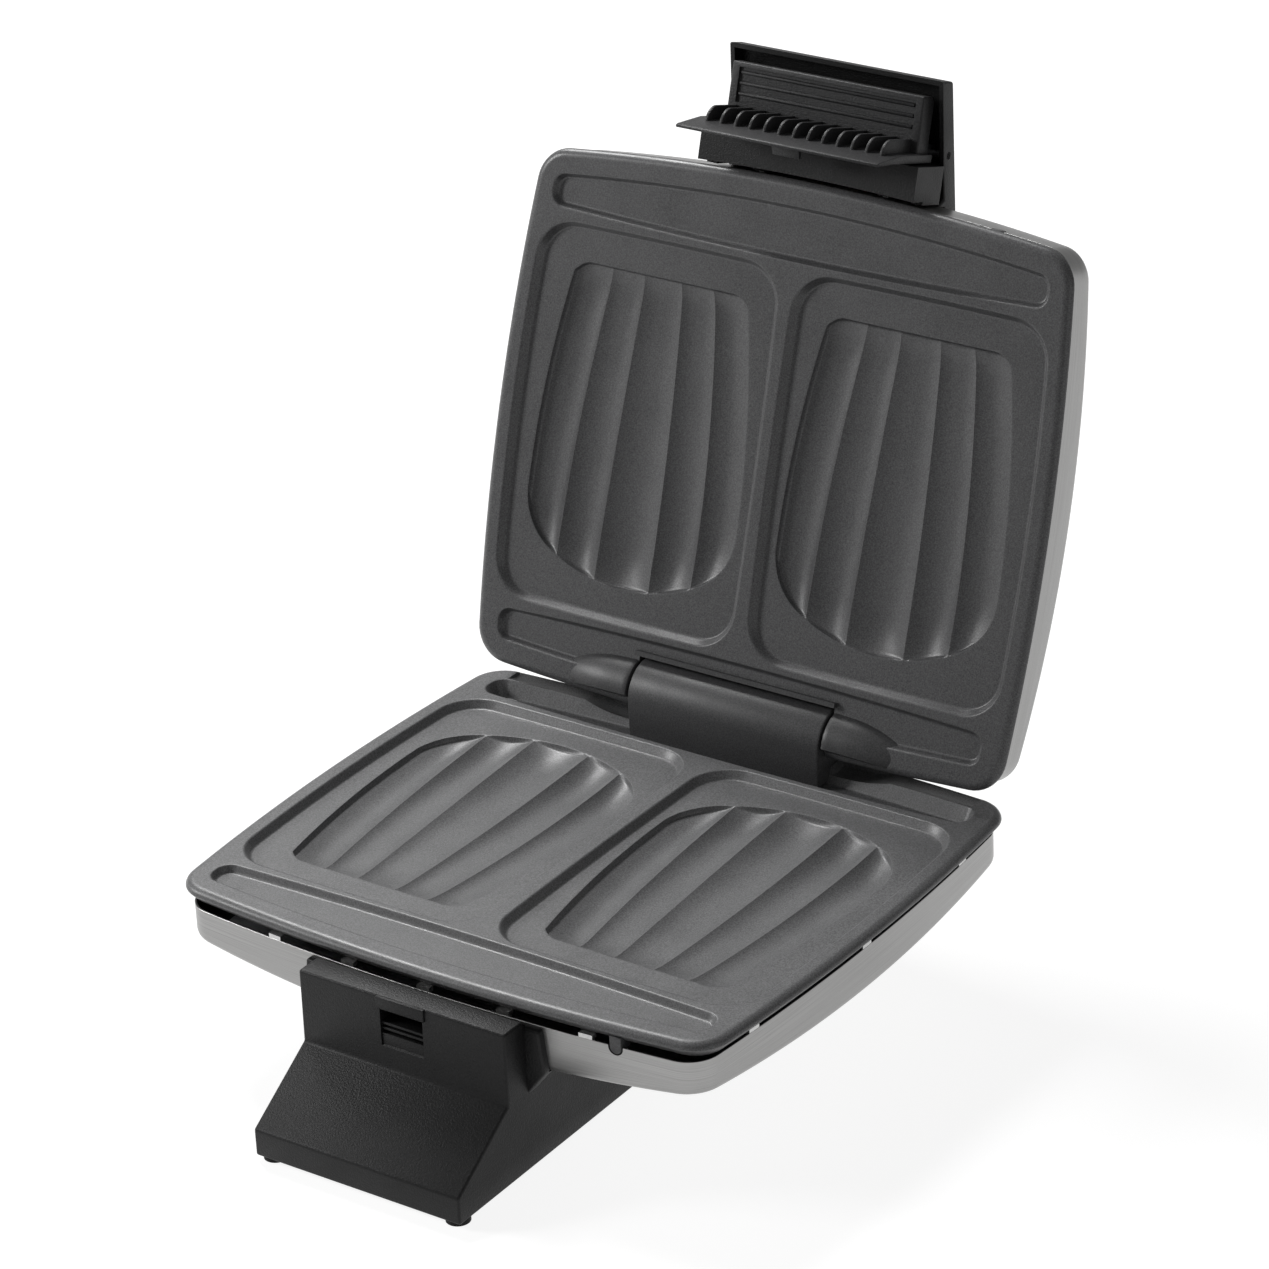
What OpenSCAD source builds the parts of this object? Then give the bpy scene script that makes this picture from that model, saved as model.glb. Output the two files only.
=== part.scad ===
// Sandwich toaster with a hinged lid, shown with its lid open.
// Base parts and lid parts are drawn round the middle of a cooking plate,
// with the plate's face at z = 0, and are put in place at the end.

/* [Cooking plates] */
// Half width of a cooking plate at its widest
plate_half_w = 135; // [125:0.5:145]
// From the middle of a plate to its front edge
plate_front = 116; // [112:0.5:120]
// From the middle of a plate to its rear edge
plate_rear = 116; // [114:0.5:118]
// Corner radius of a plate
plate_corner = 16; // [10:0.5:20]
// Radius of the bow of the plate's sides
side_bow = 1050; // [600:10:3000]
// Radius of the bow of the plate's front edge
front_bow = 1100; // [700:10:3000]
// Radius of the bow of the plate's rear edge
rear_bow = 2000; // [1200:50:4000]
// Height of the plate's outer wall
rim_h = 7.3; // [6:0.1:9]
// How far the outer wall draws in over its height
rim_draft = 4; // [2:0.1:5]
// Small bevel round the edge of the plate
rim_bevel = 1.2; // [0.4:0.1:2]
// Thickness of the cast metal under the cells
plate_floor = 3; // [2:0.1:4]
// Thickness of the cast outer wall at its foot
skirt_t = 3.6; // [2.5:0.1:5]
// Gap between the two plates when the lid is shut
parting_gap = 0.6; // [0.3:0.1:2]

/* [Bread cells] */
// Land between a cell and the side of the plate
cell_side_land = 8.2; // [7:0.1:12]
// Width of the rib between the two cells
centre_rib = 5.6; // [4:0.1:10]
// From the middle of the plate to the front edge of a cell
cell_front = 80.5; // [74:0.5:82]
// From the middle of the plate to the rear edge of a cell
cell_rear = 83.3; // [76:0.5:84]
// Depth of a cell
cell_depth = 3.5; // [2:0.1:5]
// Corner radius of a cell
cell_corner = 18; // [8:0.5:24]
// How far a cell's wall slopes in over its depth
cell_draft = 2.4; // [0.5:0.1:4]

/* [Fluted pattern] */
// From the middle of the plate to the middle of a fluted pattern
shell_x = 62.9; // [58:0.1:68]
// Half width of the pattern at its widest
shell_half_w = 53; // [44:0.5:55]
// Where the pattern is widest, behind the middle of the plate
shell_wide_y = 33; // [20:1:40]
// Half width of the pattern at its flat front end
shell_front_half_w = 42.5; // [36:0.5:46]
// From the middle of the plate to the pattern's flat front end
shell_front = 64.4; // [55:0.5:70]
// From the middle of the plate to the top of the pattern's round end
shell_rear = 69; // [60:0.5:74]
// Radius of the round end
shell_end_bow = 80; // [60:1:120]
// Corner radius between the round end and the sides
shell_shoulder = 28; // [18:1:34]
// Depth of a flute below the floor of the cell
flute_depth = 4.6; // [2:0.1:6]
// Number of flutes in a pattern
flute_count = 5; // [3:2:7]

/* [Fat gutters] */
// Land between a cell and a gutter
gutter_land = 2.6; // [2:0.1:5]
// Half length of a gutter
gutter_half_w = 120.4; // [100:0.5:122]
// Land between a gutter and the front or rear edge of the plate
gutter_edge_land = 10.5; // [8:0.1:14]
// Depth of a gutter
gutter_depth = 3; // [1:0.1:4]
// Depth of the lower plate's rear gutter, which takes in the hinge knuckles
deep_gutter_depth = 7; // [5.5:0.1:8]
// Corner radius at the ends of a gutter
gutter_corner = 6; // [3:0.5:8]

/* [Steel pans] */
// Inset of the pan from the widest line of the plate, at the sides
pan_side_inset = 4.3; // [3:0.1:6]
// Inset of the pan from the front and rear edges of the plate
pan_end_inset = 1; // [0.5:0.1:3]
// Corner radius of a pan
pan_corner = 14; // [8:0.5:18]
// Gap between the plate's outer wall and the rim of the pan
pan_gap = 1.9; // [1:0.1:3]
// From the plate's face to the middle of the domed floor
pan_depth = 37.2; // [34:0.1:42]
// Radius of the domed floor
dome_r = 1000; // [700:10:3000]
// Thickness of the steel sheet
sheet = 0.9; // [0.6:0.1:1.5]

/* [Hinge] */
// From the middle of the plate back to the hinge axis
hinge_y = 108.7; // [107:0.1:111]
// Height of the hinge axis above the gap between the plates
hinge_z = 9.9; // [9:0.1:12]
// How far the lid stands open, in degrees
open_angle = 107.8; // [90:0.1:110]
// Radius of the hinge barrel
barrel_r = 14.3; // [13:0.1:15]
// Half length of the hinge barrel
barrel_half = 47.4; // [40:0.1:52]
// Clearance between the barrel and the lid round it
hinge_gap = 0.6; // [0.4:0.1:1.5]
// Length of a tapering knuckle beside the barrel
knuckle_len = 38; // [30:1:42]
// Radius of a knuckle at its far end
knuckle_tip_r = 6.2; // [5.6:0.1:8]
// Radius of the hinge pin and the hinge tube
pin_r = 4; // [3:0.1:5]
// Radial clearance of the pins in the barrel and the knuckles
pin_fit = 0.06; // [0.02:0.01:0.1]
// Length of a hinge pin
pin_len = 40; // [30:1:42]
// Radius of the wire passage through the hinge tube
tube_bore_r = 2.6; // [2.2:0.1:3]

/* [Pedestal] */
// Height of the plates' meeting plane above the table
stand_h = 75.2; // [68:0.1:90]
// Half width of the pedestal
pedestal_half_w = 49.6; // [44:0.1:56]
// From the middle of the plate to the pedestal's upright front face
pedestal_face = 129.6; // [126:0.1:134]
// From the middle of the plate to the front of the sloping apron
apron_front = 164.6; // [150:0.1:175]
// From the middle of the plate to the rear of the pedestal
pedestal_rear = 100; // [80:1:108]
// From the plate's face down to the pedestal's top at the front
pedestal_top = 6.9; // [6:0.1:8]
// From the plate's face down to the foot of the upright face
face_foot = 38.6; // [36:0.1:44]
// From the plate's face down to the front edge of the apron
apron_foot = 60.9; // [54:0.1:64]
// Wall thickness of the pedestal
pedestal_t = 2.6; // [2:0.1:3.5]
// Half width of the collar where the pedestal meets the pan
collar_half_w = 56; // [52:0.5:60]
// Height of the rubber feet below the pedestal
foot_h = 2; // [1.8:0.1:4]
// Radius of a rubber foot
foot_r = 5; // [4:0.1:5.5]

/* [Latch] */
// Half width of the recess that takes in the hook
recess_half_w = 10.3; // [9:0.1:14]
// From the plate's face down to the top of the recess
recess_top = 12.3; // [11:0.1:14]
// From the plate's face down to the bottom of the recess
recess_foot = 29.8; // [26:0.1:32]
// Depth of the recess
recess_depth = 8; // [6:0.1:10]
// Half width of the lip over the recess
lip_half_w = 11.6; // [10:0.1:14]
// How far the lip stands out from the face
lip_out = 1; // [0.5:0.1:1.2]
// Half width of the hook
hook_half_w = 6.5; // [4:0.1:9]
// Height of the hook
hook_h = 4; // [3:0.1:6]
// How far the hook reaches behind the pedestal's face
hook_reach = 3.2; // [2:0.1:3.6]

/* [Handle] */
// Half width of the handle cover
cover_half_w = 51.4; // [49:0.1:56]
// From the middle of the plate to the front of the handle cover
cover_front = 165; // [160:0.1:172]
// Height of the cover's front edge above the lid plate's face
cover_front_z = 22.3; // [21:0.1:26]
// Where the cover is highest, in front of the middle of the plate
crest_y = 97; // [90:1:104]
// Height of the cover's crest above the lid plate's face
crest_z = 44; // [42:0.1:50]
// Where the cover's rear edge rests on the lid
cover_tail = 58; // [45:1:70]
// Wall thickness of the cover
cover_t = 2; // [1.6:0.1:2.6]
// Depth of the cover's skirt
skirt_h = 10; // [8:0.1:11]
// Half width of the frame that carries the handle
frame_half_w = 52.2; // [49.5:0.1:56]
// Height of the frame's lower face above the lid plate's face
frame_low = 2.2; // [1.5:0.1:4]
// Half width of the grip
grip_half_w = 46.3; // [40:0.1:48]
// From the middle of the plate to the front of the grip
grip_front = 158.2; // [152:0.1:160]
// Height of the grip's lower face above the lid plate's face
grip_low = 9.7; // [8:0.1:12]
// Height of the grip's upper face
grip_high = 18.4; // [15:0.1:19]
// Half width of the lever's hanging leg
leg_half_w = 48.5; // [44:0.1:49]
// How far the leg hangs below the lid plate's face
leg_drop = 23.7; // [20:0.1:26]
// Thickness of the leg
leg_t = 2.4; // [1.6:0.1:3]
// Gap between the pedestal's face and the leg
leg_gap = 1.8; // [1.6:0.1:2.4]
// Number of fins between leg and grip
fin_count = 13; // [7:1:17]
// Distance from fin to fin
fin_pitch = 7; // [5:0.1:7.5]
// Thickness of a fin
fin_t = 1.4; // [1:0.1:2]
// How far a fin reaches down the leg from the grip
fin_drop = 21; // [12:0.1:24]
// How far a fin stands out from the leg
fin_out = 6.6; // [4:0.1:9]
// Number of grooves in the grip
groove_count = 3; // [2:1:4]
// From the middle of the plate to the latch lever's pivot
pivot_y = 134.8; // [134:0.1:138]
// Height of the pivot above the lid plate's face
pivot_z = 26.6; // [26:0.1:27.5]
// Radius of the pivot pin
pivot_r = 1.6; // [1.2:0.1:2]
// Radius of a pilot lens
lens_r = 3; // [2:0.1:4]

/* [Heating] */
// Radius of the tubular heating element
element_r = 3.25; // [2.5:0.05:3.5]
// Half width of the element's loop
loop_x = 80; // [70:1:90]
// Half length of the element's loop
loop_y = 40; // [34:1:46]
// Bend radius of the element
bend_r = 20; // [14:1:24]
// How deep the element is bedded in the plate's back
bed_depth = 1.2; // [0.6:0.1:1.6]
// Thickness of a reflector sheet
reflector_t = 0.5; // [0.4:0.1:1]
// Depth of the reflector below the plate's face
reflector_z = 21.5; // [21:0.1:23]
// Half distance between the plate's screw pillars, across
pillar_x = 36; // [30:1:44]
// From the middle of the plate to the front pillars
pillar_front = 80; // [76:1:86]
// From the middle of the plate to the rear pillars
pillar_rear = 66; // [62:1:72]
// Radius of a screw pillar
pillar_r = 6; // [5:0.1:7]
// Radius of a supply lead
lead_r = 1.5; // [1:0.1:1.8]
// Radius of the lead that goes to the lid
lid_lead_r = 2; // [1.4:0.1:2.2]
// Radius of the opening for the mains cord
cord_r = 3.6; // [3:0.1:5]

/* [Hidden] */

// Fineness of long bows, of round parts and of small parts
bow_fn = 720;
round_fn = 96;
small_fn = 48;

// Where the sides bulge most, behind the middle of the plate
bulge_y = 8;
// Radius that stands for a straight edge
straight = 3000;
eps = 0.01;
// A corner's round meets the edges beside it in a faint line instead of running out to nothing
corner_lead = 0.15;

// An edge is an arc given by its farthest point and its radius
function right_edge(x, y, r) = [x - r, y, r];
function left_edge(x, y, r) = [x + r, y, r];
function rear_edge(x, y, r) = [x, y - r, r];
function front_edge(x, y, r) = [x, y + r, r];

plate_edges = [
    right_edge(plate_half_w, bulge_y, side_bow), rear_edge(0, plate_rear, rear_bow),
    left_edge(-plate_half_w, bulge_y, side_bow), front_edge(0, -plate_front, front_bow)
];
plate_corners = [plate_corner, plate_corner, plate_corner, plate_corner];

pan_half_w = plate_half_w - pan_side_inset;
pan_front = plate_front - pan_end_inset;
pan_rear = plate_rear - pan_end_inset;
pan_edges = [
    right_edge(pan_half_w, bulge_y, side_bow), rear_edge(0, pan_rear, rear_bow),
    left_edge(-pan_half_w, bulge_y, side_bow), front_edge(0, -pan_front, front_bow)
];
pan_corners = [pan_corner, pan_corner, pan_corner, pan_corner];
pan_rim = rim_h + pan_gap;

cell_mid = (centre_rib / 2 + plate_half_w - cell_side_land) / 2;
cell_edges = [
    right_edge(plate_half_w - cell_side_land, bulge_y, side_bow - cell_side_land),
    rear_edge(cell_mid, cell_rear, straight),
    left_edge(centre_rib / 2, 0, straight),
    front_edge(cell_mid, -cell_front, straight)
];
cell_corners = [cell_corner, cell_corner, cell_corner, cell_corner];

// The side of the fluted pattern runs through its front corner and its widest point
shell_bow_in = shell_half_w - shell_front_half_w;
shell_side_run = shell_wide_y + shell_front;
shell_side_bow = (shell_side_run * shell_side_run + shell_bow_in * shell_bow_in) / (2 * shell_bow_in);
shell_edges = [
    right_edge(shell_half_w, shell_wide_y, shell_side_bow),
    rear_edge(0, shell_rear, shell_end_bow),
    left_edge(-shell_half_w, shell_wide_y, shell_side_bow),
    front_edge(0, -shell_front, straight)
];
shell_front_corner = 6;
shell_corners = [shell_shoulder, shell_shoulder, shell_front_corner, shell_front_corner];
flute_run = shell_front + shell_rear;
shell_back = cell_depth + flute_depth + plate_floor;
slab_back = cell_depth + plate_floor;

front_gutter_y = cell_front + gutter_land;
rear_gutter_y = cell_rear + gutter_land;
gutter_end_bow = 150;
gutter_corners = [gutter_corner, gutter_corner, gutter_corner, gutter_corner];
front_gutter_edges = [
    right_edge(gutter_half_w, -front_gutter_y, gutter_end_bow),
    rear_edge(0, -front_gutter_y, straight),
    left_edge(-gutter_half_w, -front_gutter_y, gutter_end_bow),
    front_edge(0, gutter_edge_land - plate_front, front_bow - gutter_edge_land)
];
rear_gutter_edges = [
    right_edge(gutter_half_w, rear_gutter_y, gutter_end_bow),
    rear_edge(0, plate_rear - gutter_edge_land, rear_bow - gutter_edge_land),
    left_edge(-gutter_half_w, rear_gutter_y, gutter_end_bow),
    front_edge(0, rear_gutter_y, straight)
];

// The hinge axis above the face of the lower plate and above that of the lid plate
base_axis_z = hinge_z + parting_gap / 2;
lid_axis_z = hinge_z - parting_gap / 2;

// The lid's cutout and hood round the barrel
hood_r = barrel_r + hinge_gap;
hood_t = 2;
knuckle_start = barrel_half + 1.2;
knuckle_room = 0.8;
// The lid plate's rear edge swings through this relief in the lower plate
edge_path_r = norm([plate_rear - rim_bevel - hinge_y, lid_axis_z]) + 0.3;
relief_half_w = plate_half_w - plate_corner - 3;
knuckle_bulge = 260;
knuckle_lift = atan((barrel_r - knuckle_tip_r) / knuckle_len);
pin_start = barrel_half + pin_len / 2 - 12;
lead_turn_x = knuckle_start + knuckle_len - 9;
barrel_hollow_r = 8;
barrel_hollow_half = pin_start - pin_len / 2 - 1;

// The table lies this far below the faces of the lower plate
base_lift = stand_h - parting_gap / 2;
table_z = -base_lift;
pedestal_foot = table_z + foot_h;
front_shelf = 14;
rear_shelf = 16;
cover_recess = 1;
base_cover_t = 2;
base_cover_gap = 0.3;
cord_y = pedestal_rear;
cord_z = (pedestal_foot - face_foot) / 2 - 2;
screw_boss_z = -face_foot - 8;
screw_head_r = 3.4;
cover_screw_x = pedestal_half_w - pedestal_t - 3.6;
cover_screw_front = front_shelf + 8;
cover_screw_rear = rear_shelf + 8;

// Where the lug of the lower plate drops into a notch in the pan
lug_x = 88.3;
lug_r = 2.7;
lug_foot = 12.6;
lug_gap = 0.5;
lug_t = 7;

// Places of the light tabs in the gap between plate and pan
tab_w = 6;
tab_depth = 3;
tab_leg = 5;
front_tab_pitch = 37.5;
side_tab_pitch = 75;
rear_tab_x = 102;

element_z = shell_back + element_r - bed_depth;
terminal_x = 14;
terminal_bend = 10;
terminal_y = 80;
clamp_half = 9;
clamp_t = 1.2;
clamp_w = 8;
clamp_places = [[loop_x, 0, 0], [-loop_x, 0, 0], [loop_x / 2 + 8, -loop_y, 90], [-loop_x / 2 - 8, -loop_y, 90]];
clamp_screw_r = 1.3;
reflector_inset = 11;
block_y = 55;
grommet_y = 20;
grommet_r = 8;
lens_x = 10;
lens_y = 122;

leg_back = pedestal_face + leg_gap;
leg_front = leg_back + leg_t;
frame_face = leg_back - 0.8;
hook_top = -recess_top - 0.4 - parting_gap;
ear_x = grip_half_w - 5;
ear_t = 4;
ear_r = 2.9;
spring_wire = 0.5;
cover_slope = (crest_z - cover_front_z) / (cover_front - crest_y);

function cover_top(y) = cover_front_z + (cover_front + y) * cover_slope;

// A point of the shut lid, seen from the side, once the lid stands open
function opened(y, z) = [
    hinge_y + (y - hinge_y) * cos(open_angle) + (z - hinge_z) * sin(open_angle),
    hinge_z - (y - hinge_y) * sin(open_angle) + (z - hinge_z) * cos(open_angle)
];
// The whole object is centred on the origin, front to back
open_reach = max(opened(-crest_y, crest_z)[0], opened(-cover_front, cover_front_z)[0]);
plate_y = (apron_front - open_reach) / 2;

// Where two arcs of radius p and q round a and b cross, on the outer side
function meet(a, p, b, q) =
    let (ab = [b[0] - a[0], b[1] - a[1]], d = norm(ab), u = ab / d,
         t = (p * p - q * q + d * d) / (2 * d), h = sqrt(p * p - t * t))
    [a[0] + t * u[0] - h * u[1], a[1] + t * u[1] + h * u[0]];

function away(from, to) = (to - [from[0], from[1]]) / norm(to - [from[0], from[1]]);

// Metal outside the round corner between two edges
module corner_cut(a, b, corner, z0, z1, g0, g1) {
    mid = meet(a, a[2] - corner + corner_lead, b, b[2] - corner + corner_lead);
    u = away(a, mid);
    v = away(b, mid);
    far = 2 * (corner + max(g0, g1, 0)) + 2;
    translate([mid[0], mid[1], 0]) difference() {
        translate([0, 0, z0 - 1]) linear_extrude(z1 - z0 + 2) polygon([[0, 0], u * far, (u + v) * far, v * far]);
        translate([0, 0, z0]) cylinder(h = z1 - z0, r1 = corner + g0, r2 = corner + g1, $fn = round_fn);
        translate([0, 0, z0 - 2]) cylinder(h = 2, r = corner + g0, $fn = round_fn);
        translate([0, 0, z1]) cylinder(h = 2, r = corner + g1, $fn = round_fn);
    }
}

// A block with bowed sides and round corners, grown by g0 at its foot and g1 at its top
module bowed_block(edges, corners, z0, z1, g0 = 0, g1 = 0) {
    difference() {
        intersection_for(e = edges)
            translate([e[0], e[1], z0]) cylinder(h = z1 - z0, r1 = e[2] + g0, r2 = e[2] + g1, $fn = bow_fn);
        for (i = [0 : 3])
            corner_cut(edges[i], edges[(i + 1) % 4], corners[i], z0, z1, g0, g1);
    }
}

module along_x(width) rotate([90, 0, 90]) linear_extrude(width, center = true) children();

module rod_x(r, x0, x1, y, z) translate([x0, y, z]) rotate([0, 90, 0]) cylinder(h = x1 - x0, r = r, $fn = round_fn);

// A tapering knuckle along X, with slightly bulging sides, grown all round
module knuckle(x0, z, grow = 0) {
    len = knuckle_len + 2 * grow;
    wide = barrel_r + grow;
    slim = knuckle_tip_r + grow;
    chord = [slim - wide, len];
    centre = [(wide + slim) / 2, len / 2]
        - [chord[1], -chord[0]] / norm(chord) * sqrt(knuckle_bulge * knuckle_bulge - norm(chord) * norm(chord) / 4);
    translate([x0 - grow, hinge_y, z]) rotate([0, 90, 0]) rotate_extrude($fn = round_fn) intersection() {
        translate(centre) circle(knuckle_bulge, $fn = bow_fn * 2);
        square([wide, len]);
    }
}

module both_sides() for (s = [0, 1]) mirror([s, 0, 0]) children();

module at_pillars(rows = [-pillar_front, pillar_rear])
    for (x = [-pillar_x, pillar_x], y = rows) translate([x, y, 0]) children();

// A round lead through a list of points
module lead(points, r) {
    for (i = [1 : len(points) - 1]) {
        d = points[i] - points[i - 1];
        translate(points[i - 1]) rotate([0, acos(d[2] / norm(d)), atan2(d[1], d[0])])
            cylinder(h = norm(d), r = r, $fn = small_fn);
        if (i < len(points) - 1) translate(points[i]) sphere(r + 0.04, $fn = small_fn);
    }
}

// Everything above the domed floor, which lies depth below z = 0
module over_dome(r, depth) rotate_extrude($fn = 180) intersection() {
    translate([0, r - depth]) circle(r, $fn = bow_fn * 2);
    translate([0, -depth - 1]) square([200, depth + 60]);
}

// The space that the pan fills, grown all round
module pan_space(grow = 0) intersection() {
    bowed_block(pan_edges, pan_corners, -pan_depth - 20, -pan_rim, grow, grow);
    over_dome(dome_r + grow, pan_depth + grow);
}

module pan_inside() intersection() {
    bowed_block(pan_edges, pan_corners, -pan_depth - 10, 10, -sheet, -sheet);
    over_dome(dome_r - sheet, pan_depth - sheet);
}

module lug(grow) {
    lug_front = pan_front - lug_x * lug_x / (2 * front_bow);
    translate([lug_x, -lug_front - 0.2, 0]) rotate([-90, 0, 0]) linear_extrude(lug_t + grow) union() {
        translate([0, lug_foot - lug_r]) circle(lug_r + grow, $fn = round_fn);
        translate([-lug_r - grow, rim_h]) square([2 * (lug_r + grow), lug_foot - lug_r - rim_h]);
    }
}

// The element's path with its two cold ends
module element_loop(r, z) translate([0, 0, -z]) {
    long = loop_y - bend_r;
    wide = loop_x - bend_r;
    both_sides() {
        lead([[0, -loop_y, 0], [wide, -loop_y, 0]], r);
        translate([wide, -long, 0]) rotate([0, 0, -90]) bend(bend_r, r);
        lead([[loop_x, -long, 0], [loop_x, long, 0]], r);
        translate([wide, long, 0]) bend(bend_r, r);
        lead([[terminal_x + terminal_bend, loop_y, 0], [wide, loop_y, 0]], r);
        translate([terminal_x + terminal_bend, loop_y + terminal_bend, 0]) rotate([0, 0, 180]) bend(terminal_bend, r);
        lead([[terminal_x, loop_y + terminal_bend, 0], [terminal_x, terminal_y, 0]], r);
    }
}

module bend(radius, r) rotate_extrude(angle = 90, $fn = round_fn) translate([radius, 0]) circle(r, $fn = small_fn);

// The gap that the flutes cut, as cones that fan out towards the round end
module flutes() {
    half = floor(flute_count / 2);
    front_pitch = 2 * shell_front_half_w / flute_count;
    rear_pitch = 2 * shell_half_w / flute_count;
    r0 = (front_pitch * front_pitch / 4 + flute_depth * flute_depth) / (2 * flute_depth);
    r1 = (rear_pitch * rear_pitch / 4 + flute_depth * flute_depth) / (2 * flute_depth);
    for (i = [-half : half]) {
        from = [i * front_pitch, -shell_front, r0 - cell_depth - flute_depth];
        to = [i * rear_pitch, shell_rear, r1 - cell_depth - flute_depth];
        d = to - from;
        translate(from) rotate([0, acos(d[2] / norm(d)), atan2(d[1], d[0])])
            cylinder(h = norm(d) + 4, r1 = r0, r2 = r1 + 4 * (r1 - r0) / norm(d), $fn = round_fn);
    }
}

module shell_pattern() intersection() {
    bowed_block(shell_edges, shell_corners, -cell_depth - flute_depth - 1, eps - cell_depth);
    flutes();
}

// One cast plate, face up; its rear gutter is as deep as asked for
module plate_casting(rear_depth) {
    difference() {
        union() {
            bowed_block(plate_edges, plate_corners, -rim_h, -rim_bevel, -rim_draft, 0);
            bowed_block(plate_edges, plate_corners, -rim_bevel, 0, 0, -rim_bevel);
        }
        bowed_block(plate_edges, plate_corners, -rim_h - 1, -slab_back, -rim_draft - skirt_t, -rim_draft - skirt_t);
        both_sides() bowed_block(cell_edges, cell_corners, -cell_depth, eps, -cell_draft, 0);
        both_sides() translate([shell_x, 0, 0]) shell_pattern();
        bowed_block(front_gutter_edges, gutter_corners, -gutter_depth, eps, -gutter_depth / 2, 0);
        bowed_block(rear_gutter_edges, gutter_corners, -rear_depth, eps, -rear_depth / 2, 0);
    }
    difference() {
        union() {
            both_sides() translate([shell_x, 0, 0])
                bowed_block(shell_edges, shell_corners, -shell_back, -slab_back, plate_floor, plate_floor);
            for (p = clamp_places) translate([p[0], p[1], 0]) rotate([0, 0, p[2]]) for (s = [-1, 1])
                translate([s * clamp_half, 0, -element_z - element_r])
                    cylinder(h = element_z + element_r - slab_back, r = 3.4, $fn = small_fn);
            at_pillars() translate([0, 0, -reflector_z])
                cylinder(h = reflector_z - slab_back, r = pillar_r, $fn = small_fn);
            intersection() {
                at_pillars() translate([0, 0, -pan_depth])
                    cylinder(h = pan_depth - slab_back, r = pillar_r - 2, $fn = small_fn);
                pan_inside();
            }
        }
        both_sides() translate([shell_x, 0, 0]) shell_pattern();
        element_loop(element_r + 0.05, element_z);
        clamp_screw_holes();
        at_pillars() translate([0, 0, -pan_depth]) cylinder(h = 22, r = 1.8, $fn = small_fn);
    }
    lug(0);
}

module clamp_screw_holes()
    for (p = clamp_places) translate([p[0], p[1], 0]) rotate([0, 0, p[2]]) for (s = [-1, 1])
        translate([s * clamp_half, 0, -element_z - element_r - 1])
            cylinder(h = 7, r = clamp_screw_r + 0.1, $fn = small_fn);

module barrel_profile() {
    translate([hinge_y, base_axis_z]) circle(barrel_r, $fn = round_fn * 2);
    translate([hinge_y - barrel_r, -slab_back]) square([plate_rear - hinge_y + barrel_r, slab_back + base_axis_z]);
}

// The slot that leads the lid's wires up into the hollow barrel
module barrel_passage() {
    rod_x(barrel_hollow_r, -barrel_hollow_half, barrel_hollow_half, hinge_y, base_axis_z);
    translate([-6, hinge_y - 5, -slab_back - 4]) cube([12, 10, slab_back + 4 + base_axis_z]);
}

module rim_tabs() {
    intersection() {
        union() {
            difference() {
                bowed_block(pan_edges, pan_corners, -pan_rim, -rim_h, -0.1, -0.1);
                bowed_block(pan_edges, pan_corners, -pan_rim - 1, -rim_h + 1, -tab_depth, -tab_depth);
            }
            difference() {
                bowed_block(pan_edges, pan_corners, -pan_rim - tab_leg, -pan_rim, -sheet, -sheet);
                bowed_block(pan_edges, pan_corners, -pan_rim - tab_leg - 1, 0, -sheet - 0.8, -sheet - 0.8);
            }
        }
        union() {
            for (i = [-2 : 2]) tab_cell(i * front_tab_pitch, -pan_front, 0);
            for (s = [-1, 1]) tab_cell(s * rear_tab_x, pan_rear, 0);
            for (i = [-1 : 1], s = [-1, 1]) tab_cell(s * pan_half_w, i * side_tab_pitch, 90);
        }
    }
}

module tab_cell(x, y, turn) translate([x, y, -pan_rim - tab_leg - 1]) rotate([0, 0, turn])
    translate([-tab_w / 2, -16, 0]) cube([tab_w, 32, pan_rim + tab_leg + 1]);

module clamps() color("#b9bbbd") difference() {
    for (p = clamp_places) translate([p[0], p[1], -element_z - element_r - clamp_t]) rotate([0, 0, p[2]])
        translate([-clamp_half - 3.4, -clamp_w / 2, 0]) cube([2 * clamp_half + 6.8, clamp_w, clamp_t]);
    translate([0, 0, -clamp_t - 1]) clamp_screw_holes();
}

module clamp_screws() color("#8d8f91")
    for (p = clamp_places) translate([p[0], p[1], 0]) rotate([0, 0, p[2]]) for (s = [-1, 1])
        translate([s * clamp_half, 0, -element_z - element_r]) {
            translate([0, 0, -clamp_t]) cylinder(h = 5, r = clamp_screw_r, $fn = small_fn);
            translate([0, 0, -clamp_t - 1.4]) cylinder(h = 1.4, r = 2.6, $fn = small_fn);
        }

module reflector() color("#cfd2d4") difference() {
    bowed_block(pan_edges, pan_corners, -reflector_z - reflector_t, -reflector_z, -reflector_inset, -reflector_inset);
    at_pillars() translate([0, 0, -reflector_z - 1]) cylinder(h = 2, r = pillar_r - 1.9, $fn = small_fn);
    translate([-knuckle_start - 15, hinge_y - hood_r - hood_t - 1, -reflector_z - 1])
        cube([2 * knuckle_start + 30, 60, 2]);
}

module element() color("#5d5f62") element_loop(element_r, element_z);

// Side view of the pedestal, as drawn from the front
module pedestal_profile(t) polygon([
    [t - pedestal_face, -pedestal_top - t],
    [t - pedestal_face - 0.5, -face_foot - t * 0.6],
    [t - apron_front, -apron_foot - t * 1.1],
    [t - apron_front, pedestal_foot],
    [pedestal_rear - t, pedestal_foot],
    [pedestal_rear - t, -pan_rim - 6],
    [-pan_front, -pan_rim - 6],
    [-pan_front, -pan_rim - t],
    [-plate_front - 1.4 - t, -pan_rim - t],
    [-plate_front - 1.4 - t, -pedestal_top - t]
]);

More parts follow.
